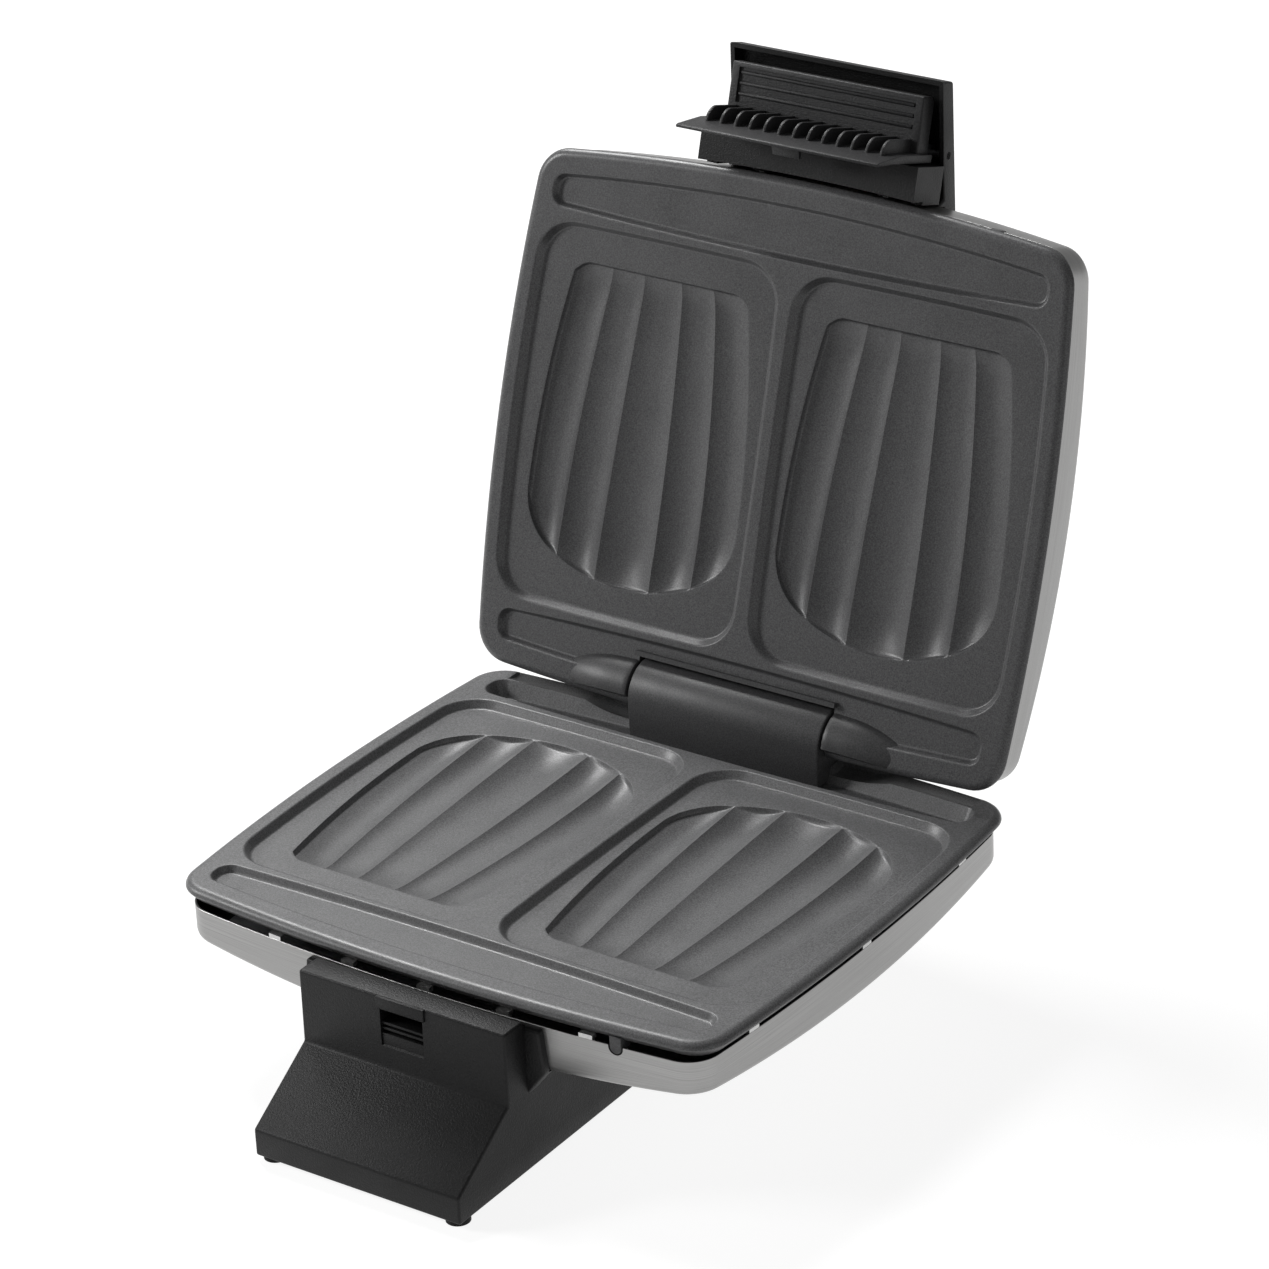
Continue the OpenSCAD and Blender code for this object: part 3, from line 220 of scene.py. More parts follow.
PLATE = edge_set(135, 116)
PAN = edge_set(130.7, 115)
NEARLY_STRAIGHT = 3000    # radius of an edge that is bowed too little to see
CELL = [(126.8 - 1041.8, 8, 1041.8), (64.8, 83.3 - NEARLY_STRAIGHT, NEARLY_STRAIGHT),
        (2.8 + NEARLY_STRAIGHT, 0, NEARLY_STRAIGHT), (64.8, -80.5 + NEARLY_STRAIGHT, NEARLY_STRAIGHT)]
FRONT_GUTTER = [(120.4 - 150, -83.1, 150), (0, -83.1 - NEARLY_STRAIGHT, NEARLY_STRAIGHT),
                (150 - 120.4, -83.1, 150), (0, -105.5 + 1089.5, 1089.5)]
REAR_GUTTER = [(120.4 - 150, 85.9, 150), (0, 105.5 - 1989.5, 1989.5),
               (150 - 120.4, 85.9, 150), (0, 85.9 + NEARLY_STRAIGHT, NEARLY_STRAIGHT)]
PLATE_CORNERS, PAN_CORNERS, CELL_CORNERS, GUTTER_CORNERS = [16] * 4, [14] * 4, [18] * 4, [6] * 4
spans = [max(c) - min(c) for c in zip(*bowed(PLATE, PLATE_CORNERS))]
print("plate outline spans", round(spans[0], 1), "by", round(spans[1], 1), "mm")

# %% [markdown]
# ## The walls of cells and gutters
# A casting has no knife edges: molten metal and the coating round every one. Each sloping wall
# therefore starts and ends in a small fillet. We work the fillets out once, as pairs of inset and
# height, and sweep them round any outline. A shader bevel would only fake this in one view, so the
# roundness is real geometry.

# %% A sloping wall with a fillet at its top and foot
LEAD_IN, LEAD_OUT = 0.35, 0.4    # flat strips before and after a wall, which keep the shading calm
CELL_DEPTH = 3.5


def filleted_wall(run, depth, r_top, r_foot, n=4):
    """Pairs of inset and height, from the land above the wall to the floor below it."""
    lean = math.atan2(depth, run)
    t0, t1 = r_top * math.tan(lean / 2), r_foot * math.tan(lean / 2)
    wall = [(-t0 - LEAD_IN, 0)]
    for k in range(n + 1):
        a = lean * k / n
        wall.append((-t0 + r_top * math.sin(a), -r_top * (1 - math.cos(a))))
    for k in range(n + 1):
        a = lean * (1 - k / n)
        wall.append((run + t1 - r_foot * math.sin(a), -depth + r_foot * (1 - math.cos(a))))
    wall.append((run + t1 + LEAD_OUT, -depth))
    return wall


def mirrored(flat):
    """The same outline on the left half, still anticlockwise."""
    return [(-p[0], p[1]) for p in reversed(flat)]


def sink(shop, edges, corners, wall, both=False):
    """Sweeps the wall round the outline, and gives its first and last ring for each side."""
    ends = []
    for side in ((1, -1) if both else (1,)):
        rings = []
        for inset, z in wall:
            flat = bowed(edges, corners, inset)
            rings.append(shop.ring(flat if side > 0 else mirrored(flat), z))
        for a, b in zip(rings, rings[1:]):
            shop.band(a, b)
        ends.append((rings[0], rings[-1]))
    return ends


cell_wall = filleted_wall(2.2, CELL_DEPTH, 1.2, 1.3)
print("cell wall has", len(cell_wall), "rings")

# %% [markdown]
# ## The fluted shell
# Each cell has a smooth hollow with four sharp crests that fan out like a scallop shell: low at the
# narrow front, and rising to a point just inside the round end. The hollow could be one bowl with
# ridges laid on it. Here it is five little grids, one between each pair of crests, so that a crest
# is always a line of points and stays sharp, and the rim of the hollow falls exactly on grid ends.

# %% Crests, rim and depth of the flutes
SHELL_X, SHELL_FRONT, SHELL_LENGTH = 62.9, -64.4, 129.4    # a shell's middle line, front and length
SIDE_X, SIDE_Y, SIDE_R = 53, 33, 457                       # its side: widest point and arc radius
END_Y, END_R = -11, 80                                     # the wide bow of its round end
SHOULDER_X, SHOULDER_Y, SHOULDER_R = 25, 34.6, 28          # the tighter shoulder beside that bow
SHOULDER_FROM, LAST_X = 38.5, 52.9
DEEP, SHALLOW = 4.5, 2.0                                   # the bowl in its middle and at its wall
# Sides and crests, as shares of the shell's half width.
RIDGE_FRONT = [-1, -0.59, -0.216, 0.216, 0.59, 1]
RIDGE_REAR = [-1, -0.658, -0.266, 0.266, 0.658, 1]


def side_at(y):
    return SIDE_X - (y - SIDE_Y) ** 2 / (2 * SIDE_R)


def ridge_at(k, y):
    t = (y - SHELL_FRONT) / SHELL_LENGTH
    return side_at(y) * (RIDGE_FRONT[k] * (1 - t) + RIDGE_REAR[k] * t)


def across_at(k, u, y):
    return ridge_at(k, y) * (1 - u) + ridge_at(k + 1, y) * u


def round_end(x):
    """The rim's round end: a wide bow with a tighter shoulder on each side."""
    x = min(abs(x), LAST_X)
    if x < SHOULDER_FROM:
        return math.sqrt(END_R ** 2 - x * x) + END_Y
    return SHOULDER_Y + math.sqrt(max(SHOULDER_R ** 2 - (x - SHOULDER_X) ** 2, 0))


def flute_end(k, u):
    """Where a line of a flute meets the round end, found by coming half the way closer each time."""
    y = 55.0
    for _ in range(60):
        y += 0.5 * (round_end(across_at(k, u, y)) - y)
    return y


def outward(k, u):
    """From 0 at an outer flute's crest to 1 at the side of the shell; 0 in the other flutes."""
    return u if k == 4 else 1 - u if k == 0 else 0


def flute_front(k, u):
    """Where a line starts: the two front corners of the shell are rounded off."""
    return SHELL_FRONT + 4.5 * max(0, (outward(k, u) - 0.6) / 0.4) ** 2


def swell(d, run):
    """Rises softly from 0 at the wall to 1 at the given distance from it."""
    return math.sin(min(max(d, 0) / run, 1) * math.pi / 2)


def hollow(k, u, y, near, far):
    """Depth below the cell's floor: a steep low wall, a soft bowl, and the crests left standing."""
    width = ridge_at(k + 1, y) - ridge_at(k, y)
    along = min(max((y + 58) / 118, 0), 1)
    sharp = 2.9 - 0.8 * along            # crests are narrower in front
    rising = 0.32 + 0.6 * along ** 2     # and stand higher behind
    side, crest = 40, abs(2 * u - 1) ** sharp
    if k in (0, 4):
        w = outward(k, u)
        side, crest = (1 - w) * width, (1 - w) ** (2.2 * sharp)
    wall = swell(min(near, far, side), 1.15)
    bowl = SHALLOW + (DEEP - SHALLOW) * swell(near, 11) * swell(far, 17) * swell(side, 12)
    return max(wall * bowl * (1 - rising * crest), 0.06)


# Points lie closer together beside the wall and beside each crest.
STARTS = [0, 0.25, 0.55, 0.85, 1.2, 2, 3.2, 4.8, 7]
FINISHES = [0, 0.25, 0.55, 0.85, 1.2, 2.2, 4, 7, 11.5]
ACROSS = [0, 0.018, 0.038, 0.06, 0.1, 0.16, 0.24, 0.33, 0.42, 0.5,
          0.58, 0.67, 0.76, 0.84, 0.9, 0.94, 0.962, 0.982, 1]


def fluted_shell(shop, side):
    """Adds one fluted pattern, and gives the ring of its rim, anticlockwise."""
    grids = []
    for k in range(5):
        rows = []
        for u in ACROSS:
            y0, y1 = flute_front(k, u), flute_end(k, u)
            run = y1 - y0 - (STARTS[-1] + FINISHES[-1])
            ys = [y0 + s for s in STARTS]
            ys += [y0 + STARTS[-1] + run * i / 20 for i in range(1, 20)]
            ys += [y1 - s for s in reversed(FINISHES)]
            ids = []
            for y in ys:
                x = side * (SHELL_X + across_at(k, u, y))
                shop.points.append((x, y, -CELL_DEPTH - hollow(k, u, y, y - y0, y1 - y)))
                shop.coords.append((x, y))
                ids.append(len(shop.points) - 1)
            rows.append(ids)
        for a, b in zip(rows, rows[1:]):
            shop.band(a, b, closed=False)
        grids.append(rows)
    rim = [row[0] for g in grids for row in g[:-1]] + list(grids[4][-1])[:-1]
    for g in reversed(grids):
        rim += [row[-1] for row in reversed(g[1:])]
    rim += list(reversed(grids[0][0]))[:-1]
    return rim if side > 0 else list(reversed(rim))


def skirted(shop, rim):
    """Two rings just outside the rim, which keep the cell's floor flat right up to it."""
    flat = [Vector(shop.points[i][:2]) for i in rim]
    n = len(flat)
    rings = []
    for off in (0.45, 0.95):
        out = []
        for i in range(n):
            d = (flat[(i + 1) % n] - flat[i - 1]).normalized()
            out.append(flat[i] + Vector((d.y, -d.x)) * off)
        rings.append(shop.ring(out, -CELL_DEPTH))
    shop.band(rim, rings[0])
    shop.band(*rings)
    return rings[1]


print("ridges at the front:", [round(ridge_at(k, SHELL_FRONT), 1) for k in range(6)])

# %% [markdown]
# ## One casting, used twice
# Lid and base are cast in almost the same mould. The function below makes a plate face up: the
# rounded rim and its sloping skirt, the cells with their flutes, a fat gutter in front and one
# behind, and the stepped back with a boss under each shell. Only the depth of the rear gutter
# differs, because the lower one has to make room for the knuckles of the hinge.

# %% The plate casting
BACK, BOSS_FOOT, GUTTER_FOOT = -6.5, -11.1, -9    # the plate's back, and how far its humps reach below it
# The rim as pairs of inset and height: the rounded lip, the sloping skirt, and the step to the back.
RIM = [(3.9, 0), (3.1, 0), (2.45, -0.12), (1.8, -0.38), (1.2, -0.75), (0.68, -1.22), (0.3, -1.8),
       (0.08, -2.4), (0.02, -2.9), (0.2, -3.35), (0.5, -3.75), (3.5, -6.85), (3.8, -7.15), (4.2, -7.3),
       (7.4, -7.3), (7.6, -7.1), (7.6, BACK)]
SHELL = [(SIDE_X - SIDE_R, SIDE_Y, SIDE_R), (0, END_Y, END_R), (SIDE_R - SIDE_X, SIDE_Y, SIDE_R),
         (0, SHELL_FRONT + NEARLY_STRAIGHT, NEARLY_STRAIGHT)]


def hump(shop, flat, foot_z):
    """A closed hump on the plate's back. Gives the ring that it stands on."""
    top, foot = shop.ring(flat, BACK), shop.ring(flat, foot_z)
    shop.band(top, foot)
    shop.fill(foot)
    return top


def casting(rear_depth):
    """A whole plate, face up, with a rear gutter of the given depth."""
    shop = Shop()
    rings = [shop.ring(bowed(PLATE, PLATE_CORNERS, inset), z) for inset, z in RIM]
    for a, b in zip(rings, rings[1:]):
        shop.band(a, b)
    cells = sink(shop, CELL, CELL_CORNERS, cell_wall, both=True)
    front = sink(shop, FRONT_GUTTER, GUTTER_CORNERS, filleted_wall(1.5, 3, 0.8, 1.4))
    rear = sink(shop, REAR_GUTTER, GUTTER_CORNERS, filleted_wall(rear_depth / 2, rear_depth, 0.8, 1.4))
    shop.fill(rings[0], [c[0] for c in cells] + [front[0][0], rear[0][0]])
    shop.fill(front[0][1])
    shop.fill(rear[0][1])
    for side, (_, floor) in zip((1, -1), cells):
        shop.fill(floor, [skirted(shop, fluted_shell(shop, side))])
    humps = []
    for side in (1, -1):
        flat = [(p[0] + SHELL_X, p[1]) for p in bowed(SHELL, [28, 28, 6, 6], -3)]
        humps.append(hump(shop, flat if side > 0 else mirrored(flat), BOSS_FOOT))
    if rear_depth > 6:    # a gutter this deep needs metal below it
        humps.append(hump(shop, bowed(REAR_GUTTER, GUTTER_CORNERS, -1.8), GUTTER_FOOT))
    shop.fill(rings[-1], humps)
    return shop


lower_casting, lid_casting = casting(7), casting(3)
print("casting:", len(lower_casting.points), "points,", len(lower_casting.faces), "faces")

# %% [markdown]
# ## Helpers for solid pieces
# Plastic mouldings and the hinge start as simple sections that are pushed along a straight line,
# get their edges rounded, and lose metal where something else has to fit. That is how the real
# moulds are cut as well: a main form, a radius cutter along its edges, and pockets. The helpers
# below do these three things.

# %% Sections, rounding, cutting and joining


def new_object(name, data):
    """Makes an object of a mesh, camera or light, and puts it in the scene."""
    obj = bpy.data.objects.new(name, data)
    bpy.context.scene.collection.objects.link(obj)
    return obj


def settle(obj):
    """Applies the modifiers and leaves a plain mesh."""
    depsgraph = bpy.context.evaluated_depsgraph_get()
    mesh = bpy.data.meshes.new_from_object(obj.evaluated_get(depsgraph))
    obj.modifiers.clear()
    obj.data = mesh
    return obj


def pushed(name, near, far, round_by, segments):
    """A closed solid between two outlines that have the same number of points."""
    bm = bmesh.new()
    a, b = [bm.verts.new(p) for p in near], [bm.verts.new(p) for p in far]
    n = len(a)
    for i in range(n):
        bm.faces.new((a[i], a[(i + 1) % n], b[(i + 1) % n], b[i]))
    bm.faces.new(a)
    bm.faces.new(list(reversed(b)))
    obj = new_object(name, finished(name, bm))
    return bevel(obj, round_by, segments) if round_by else obj


def section(name, profile, x0, x1, place, round_by=0.0, segments=3):
    """A closed (y, z) profile pushed along X from x0 to x1."""
    ends = [[place((x, y, z)) for y, z in profile] for x in (x0, x1)]
    return pushed(name, *ends, round_by, segments)


def upright(name, profile, y0, y1, place, round_by=0.0, segments=3):
    """A closed (x, z) profile pushed along Y from y0 to y1."""
    ends = [[place((x, y, z)) for x, z in profile] for y in (y0, y1)]
    return pushed(name, *ends, round_by, segments)


def bevel(obj, width, segments):
    """Rounds every edge that bends by more than 25 degrees; the width is in millimetres."""
    m = obj.modifiers.new("Rounding", "BEVEL")
    m.width, m.segments = width / 1000, segments
    m.limit_method, m.angle_limit = "ANGLE", math.radians(25)
    return settle(obj)


def cut(obj, *tools):
    """Takes the tools away from the piece, and then removes them."""
    for tool in tools:
        m = obj.modifiers.new("Cut", "BOOLEAN")
        m.operation, m.solver, m.object = "DIFFERENCE", "EXACT", tool
        settle(obj)
        bpy.data.objects.remove(tool)
    return obj


def smooth(obj, angle=32):
    """Shades the piece smoothly, but keeps edges sharper than the angle."""
    for p in obj.data.polygons:
        p.use_smooth = True
    obj.data.set_sharp_from_angle(angle=math.radians(angle))
    return obj


def join(name, *parts):
    """Puts the parts into one piece."""
    bm = bmesh.new()
    for part in parts:
        bm.from_mesh(part.data)
    mesh = bpy.data.meshes.new(name)
    bm.to_mesh(mesh)
    bm.free()
    for part in parts:
        bpy.data.objects.remove(part)
    return new_object(name, mesh)


def arc(cy, cz, r, a0, a1, n):
    """Points of an arc in the (y, z) plane; angles in degrees from +y towards +z."""
    return [(cy + r * math.cos(math.radians(a0 + (a1 - a0) * i / n)),
             cz + r * math.sin(math.radians(a0 + (a1 - a0) * i / n))) for i in range(n + 1)]


def turned(name, line, place, axis_z, side=1, n=72):
    """A closed solid turned round the hinge line from (x, radius) pairs."""
    bm = bmesh.new()
    turn = [2 * math.pi * i / n for i in range(n)]
    rings = []
    for x, r in line:
        circle = [(side * x, HINGE_Y + r * math.cos(a), axis_z + r * math.sin(a)) for a in turn]
        rings.append([bm.verts.new(place(p)) for p in circle])
    for a, b in zip(rings, rings[1:]):
        for i in range(n):
            bm.faces.new((a[i], a[(i + 1) % n], b[(i + 1) % n], b[i]))
    bm.faces.new(rings[0])
    bm.faces.new(rings[-1])
    return new_object(name, finished(name, bm))


print("helpers ready")

# %% [markdown]
# ## Sizes of the hinge
# The barrel on the base and the two knuckles on the lid share one line. A knuckle is shaped like a
# bullet: nearly even beside the barrel, then rounding off to a blunt tip. Pins of 4 mm radius lie
# in a bore through all three.

# %% Barrel, slot and knuckle
BARREL_HALF, BARREL_R = 47.4, 14.3
SLOT_HALF = 48.6                  # half of the slot in the lid, where the knuckles begin
BORE_R = 4.3
BARREL_BORE = [(-60, BORE_R), (60, BORE_R)]
PIN_BORE = [(35, BORE_R), (76.2, BORE_R)]


def knuckle_line(grow=0.0):
    """Half section of a knuckle as pairs of x and radius; grow makes a tool that clears it."""
    line = [(SLOT_HALF - grow, 13.4 + grow), (48.9 - grow, 14.0 + grow), (49.5, 14.25 + grow)]
    for i in range(1, 22):
        x = 49.5 + 34.2 * i / 21
        rounding = 3.5 * (max(0, x - 58) / 22) ** 2
        line.append((x + grow, BARREL_R - 0.04 * (x - SLOT_HALF) - rounding + grow))
    return line + [(84.6 + grow, 4.4 + grow)]


print("knuckle radii:", [round(r, 1) for x, r in knuckle_line()[::4]])

# %% [markdown]
# ## The lower plate
# The barrel of the hinge is cast on behind the plate. Where the lid's rear edge and its two
# knuckles swing, the mould leaves room in the plate's rear rim. We cut it with two turned forms, a
# plain one for the lid's edge and one a little larger than the knuckle, and bore the barrel for the
# hinge pins.

# %% Lower plate and hinge barrel
lower_plate = new_object("lower_plate_form", lower_casting.mesh("lower_plate_form", on_base))
for side in (1, -1):
    swing = turned("swing", [(SLOT_HALF, 11.67), (116, 11.67)], on_base, AXIS_BASE, side)
    room = turned("room", knuckle_line(0.7), on_base, AXIS_BASE, side)
    cut(room, section("rim", [(113.2, -30), (113.2, 40), (150, 40), (150, -30)], -120, 120, on_base))
    cut(lower_plate, swing, room)
barrel_line = [(94.4, -6.4), (94.4, AXIS_BASE)] + arc(HINGE_Y, AXIS_BASE, BARREL_R, 180, -59.3, 44)[1:]
barrel = section("hinge_barrel", barrel_line + [(116, -6.4)], -BARREL_HALF, BARREL_HALF, on_base, 0.9)
cut(barrel, turned("bore", BARREL_BORE, on_base, AXIS_BASE))
smooth(lower_plate, 28)
smooth(barrel, 28)
print("lower plate:", len(lower_plate.data.polygons), "faces; barrel:", len(barrel.data.polygons))

# %% [markdown]
# ## The lid plate
# The lid is the same casting turned over. A slot lets the barrel in, a thin hood closes that slot
# from above, and the two knuckles reach down on either side of the barrel. Both knuckles are bored
# for the hinge pins, and trimmed so that nothing stands out behind the lid's rear rim.

# %% Lid plate, hood and knuckles
HOOD_OUT, HOOD_IN, HOOD_HALF = 16.9, 14.9, 49.6    # the hood's two radii and half its length
HOOD_REAR = 113.1 - HINGE_Y       # where the hood ends, behind the hinge line

lid_plate = new_object("lid_plate_form", lid_casting.mesh("lid_plate_form", lid_flip))
slot = [(93.8, -5), (93.8, AXIS_LID), (150, AXIS_LID), (150, -5)]
cut(lid_plate, section("slot", slot, -SLOT_HALF, SLOT_HALF, on_lid))
reach_out, reach_in = [math.degrees(math.acos(HOOD_REAR / r)) for r in (HOOD_OUT, HOOD_IN)]
hood_line = [(93.8, 0.4), (91.8, 0.4)] + arc(HINGE_Y, AXIS_LID, HOOD_OUT, 180, reach_out, 30)
hood_line += arc(HINGE_Y, AXIS_LID, HOOD_IN, reach_in, 180, 30)
hood = section("hinge_hood", hood_line, -HOOD_HALF, HOOD_HALF, on_lid)
knuckles = [turned("knuckle", knuckle_line(), on_lid, AXIS_LID, side) for side in (1, -1)]
behind_rim = [(112.9, 1.5), (109.3, -8), (140, -8), (140, 40), (112.9, 40)]
for knuckle in knuckles:
    cut(knuckle, section("trim", behind_rim, -100, 100, on_lid))
for knuckle, side in zip(knuckles, (1, -1)):
    cut(knuckle, turned("bore", PIN_BORE, on_lid, AXIS_LID, side))
    cut(lid_plate, turned("bore", PIN_BORE, on_lid, AXIS_LID, side))
smooth(lid_plate, 28)
lid_hinge = smooth(join("lid_hinge_form", hood, *knuckles), 28)
print("lid plate:", len(lid_plate.data.polygons), "faces")

# %% [markdown]
# ## Steel pans
# A pan is pressed from one sheet: a narrow turned-in rim, a wall that follows the bowed outline, a
# tight radius and a floor that domes outwards. We sweep the wall's section round the outline and
# let the floor's rings shrink towards the middle at the height of a large sphere. A second set of
# rings, one sheet thickness further in, makes the inside. The pan's own UV map runs along the rim,
# so that the brushing can follow it.

# %% The pan as a closed sheet
PAN_TOP, PAN_DEPTH, DOME_R, SHEET = -9.35, 37.2, 1000, 0.9
BEND_OUT, BEND_IN = 3.2, 2.6                   # radius between wall and floor, outside and inside
PAN_LIP = [(0.12, -9.22), (0.4, -9.2), (0.75, -9.22)]
LUG_X, LUG_Z, LUG_R, NOTCH_R = 88.3, -9.9, 2.7, 3.2


def pan_line(inset):
    return bowed(PAN, PAN_CORNERS, inset, 34, 12)


def shrunk(flat, share):
    return [(p[0] * share, p[1] * share) for p in flat]


def dome(p, depth, r):
    """Height of the domed floor at a point: a large sphere that touches the given depth."""
    return -depth + r - math.sqrt(r * r - p[0] * p[0] - p[1] * p[1])


def pan_rings(shop, inset, depth, r, bend):
    """One side of the sheet, from the rim down the wall, round the bend and over the floor."""
    flat = pan_line(inset)
    along = [0.0]
    for a, b in zip(flat, flat[1:]):
        along.append(along[-1] + math.dist(a, b))
    rings = []
    for drop in (0, 0.6, 4, 8):
        rings.append(shop.ring(flat, PAN_TOP - drop, [(s, -drop) for s in along]))
    for k in range(7):
        a = math.radians(8 + 82 * k / 6) if k else 0
        lift = bend * (1 - math.sin(a))
        line = pan_line(inset + bend * (1 - math.cos(a)))
        rings.append(shop.ring(line, lambda p: dome(p, depth, r) + lift, [(s, -20 - k) for s in along]))
    for share in (0.93, 0.84, 0.72, 0.58, 0.43, 0.28, 0.13):
        line = shrunk(pan_line(inset + bend), share)
        rings.append(shop.ring(line, lambda p: dome(p, depth, r), [(p[0], 900 + p[1]) for p in line]))
    for a, b in zip(rings, rings[1:]):
        shop.band(a, b)
    shop.fill(rings[-1])
    return rings[0]


def pan(name, place):
    """A whole pan: outer side, lip and inner side in one closed mesh."""
    shop = Shop()
    outer = pan_rings(shop, 0, PAN_DEPTH, DOME_R, BEND_OUT)
    lip = [shop.ring(pan_line(inset), z) for inset, z in PAN_LIP]
    inner = pan_rings(shop, SHEET, PAN_DEPTH - SHEET, DOME_R - SHEET, BEND_IN)
    for a, b in zip([outer, *lip], [*lip, inner]):
        shop.band(a, b)
    return new_object(name, shop.mesh(name, place))


def pan_body(place):
    """The whole space of a pan, as a tool that cuts plastic away."""
    shop = Shop()
    flat = bowed(PAN, PAN_CORNERS)
    top = shop.ring(flat, 3)
    floor = [shop.ring(shrunk(flat, share), lambda p: dome(p, PAN_DEPTH, DOME_R))
             for share in (1, 0.8, 0.6, 0.4, 0.2)]
    for a, b in zip([top, *floor], floor):
        shop.band(a, b)
    shop.fill(floor[-1])
    shop.fill(top)
    return new_object("pan_body", shop.mesh("pan_body", place))


def round_foot(r, top):
    """A strip with a half-round lower end, about the lug's middle, as (x, z) points."""
    turn = [math.pi * i / 16 for i in range(17)]
    half = [(LUG_X - r * math.cos(a), LUG_Z - r * math.sin(a)) for a in turn]
    return [(LUG_X - r, top), *half, (LUG_X + r, top)]


def lug_notch(place):
    """The notch in the pan's front rim that takes in the plate's lug."""
    return upright("lug_notch", round_foot(NOTCH_R, -4), -120, -104, place)


lower_pan = cut(pan("lower_pan_form", on_base), lug_notch(on_base))
lid_pan = cut(pan("lid_pan_form", lid_flip), lug_notch(lid_flip))
for side in (1, -1):
    cut(lid_pan, turned("clear", knuckle_line(0.5), on_lid, AXIS_LID, side))
pan_slot = [(98.7, 0), (98.7, AXIS_LID), (138, AXIS_LID), (138, 0)]
cut(lid_pan, turned("clear", [(-SLOT_HALF, 15.5), (SLOT_HALF, 15.5)], on_lid, AXIS_LID),
    section("clear", pan_slot, -SLOT_HALF, SLOT_HALF, on_lid))
smooth(lower_pan, 40)
smooth(lid_pan, 40)
print("pans:", len(lower_pan.data.polygons), len(lid_pan.data.polygons), "faces")

# %% [markdown]
# ## The lug of each plate
# A small round-ended lug hangs from the plate's skirt and shows in the notch of the pan.

# %% Lugs
LUG_FRONT = -(115 - LUG_X ** 2 / 2200 + 0.2)    # follows the bow of the pan's front, 0.2 mm proud of it


def lug(name, place):
    return upright(name, round_foot(LUG_R, -5), LUG_FRONT, LUG_FRONT + 7, place, 0.4, 2)


lower_lug = smooth(lug("lower_lug", on_base))
lid_lug = smooth(lug("lid_lug", lid_flip))
print("lugs made")

# %% [markdown]
# ## The pedestal
# The stand is one moulding with an upright face, a sloping apron and a flared collar that hugs the
# steel. Its outer form gets its radius first. Then the pan's space, the latch recess and the pocket
# for the base cover are cut out of it, which leaves those edges as crisp as moulded openings are. A
# lip over the recess holds the latch, and two bars and a shelf stand inside it.

# %% Pedestal with collar, lip and recess
STAND_HALF, STAND_FOOT, STAND_REAR = 49.6, -72.9, 100
STAND_LINE = [(-129.6, -6.9), (-130.1, -38.6), (-164.6, -60.9), (-164.6, STAND_FOOT),
              (STAND_REAR, STAND_FOOT), (STAND_REAR, -15.2), (-115, -15.2), (-115, -9.2),
              (-117.4, -9.2), (-117.4, -6.9)]
RECESS_TOP, RECESS_HALF, RECESS_BACK = -12.3, 10.3, -121.6
COLLAR_LINE = [(-56, -10.2), (56, -10.2), (58, -28.6), (48.6, -40.6), (-48.6, -40.6), (-58, -28.6)]

stand = section("stand", STAND_LINE, -STAND_HALF, STAND_HALF, on_base, 1.1, 4)
recess = [(-131.6, RECESS_TOP), (RECESS_BACK, RECESS_TOP), (RECESS_BACK, -21.05), (-131.6, -30.6)]
pocket = [(-150.6, -74), (84, -74), (84, -69.9), (-150.6, -69.9)]
cut(stand, pan_body(on_base),
    section("recess", recess, -RECESS_HALF, RECESS_HALF, on_base),
    section("pocket", pocket, -47, 47, on_base))
collar = upright("collar", COLLAR_LINE, -117, -110, on_base, 1.0)
cut(collar, pan_body(on_base))


def bar(name, front, back, top, foot, half, round_by, segments):
    """A bar with a rectangular section that runs across the recess."""
    line = [(front, top), (back, top), (back, foot), (front, foot)]
    return section(name, line, -half, half, on_base, round_by, segments)


lip = section("lip", [(-130.6, -6.95), (-130.6, RECESS_TOP), (-128.6, RECESS_TOP), (-128.6, -6.95)],
              -11.6, 11.6, on_base, 0.45)
bars = [bar("bar", -128.9, -121.4, top, top - 1.3, 10.4, 0.3, 2) for top in (-18.6, -20.9)]
shelf = bar("shelf", -129.3, -121.4, -23.4, -30.6, 10.4, 0.35, 2)
pedestal = smooth(join("pedestal_form", stand, collar, lip, *bars, shelf), 30)
print("pedestal:", len(pedestal.data.polygons), "faces")

# %% [markdown]
# ## Handle cover
# A sloping hood of plastic closes the handle from above. It is a thin shell, so we round the outer
# block and take a second block, one wall smaller, out of it, and then let the pan cut its rear edge
# to fit the dome.

# %% Handle cover
COVER_FRONT, COVER_LOW = 165, 22.3        # where the slope starts: how far in front, and its height
COVER_BREAK, COVER_HIGH = 97, 44          # where it ends
COVER_HALF, COVER_WALL = 51.4, 2
UNDER_LINE = [(-170, 0), (-170, 12.32), (-117, 28.0), (-112, 20), (-112, 0)]


def top_at(y):
    return COVER_LOW + (COVER_FRONT + y) * (COVER_HIGH - COVER_LOW) / (COVER_FRONT - COVER_BREAK)


def cover_line(t):
    """The cover's section, t millimetres inside its outer face."""
    front = t - COVER_FRONT
    return [(front, 12.3 - t), (front, top_at(front) - t), (-103, top_at(-103) - t),
            (-94, COVER_HIGH - t * 1.02), (-58 - t, 36.2 - t * 0.4), (-58 - t, 29.2), (-114, 24.2),
            (-116.5, top_at(-115) - 10 - t)]


handle_cover = section("cover", cover_line(0), -COVER_HALF, COVER_HALF, on_lid, 1.0, 4)
inner_half = COVER_HALF - COVER_WALL
cut(handle_cover, section("inside", cover_line(COVER_WALL), -inner_half, inner_half, on_lid),
    pan_body(lid_flip), section("under", UNDER_LINE, -60, 60, on_lid))
smooth(handle_cover, 30)
print("handle cover:", len(handle_cover.data.polygons), "faces")

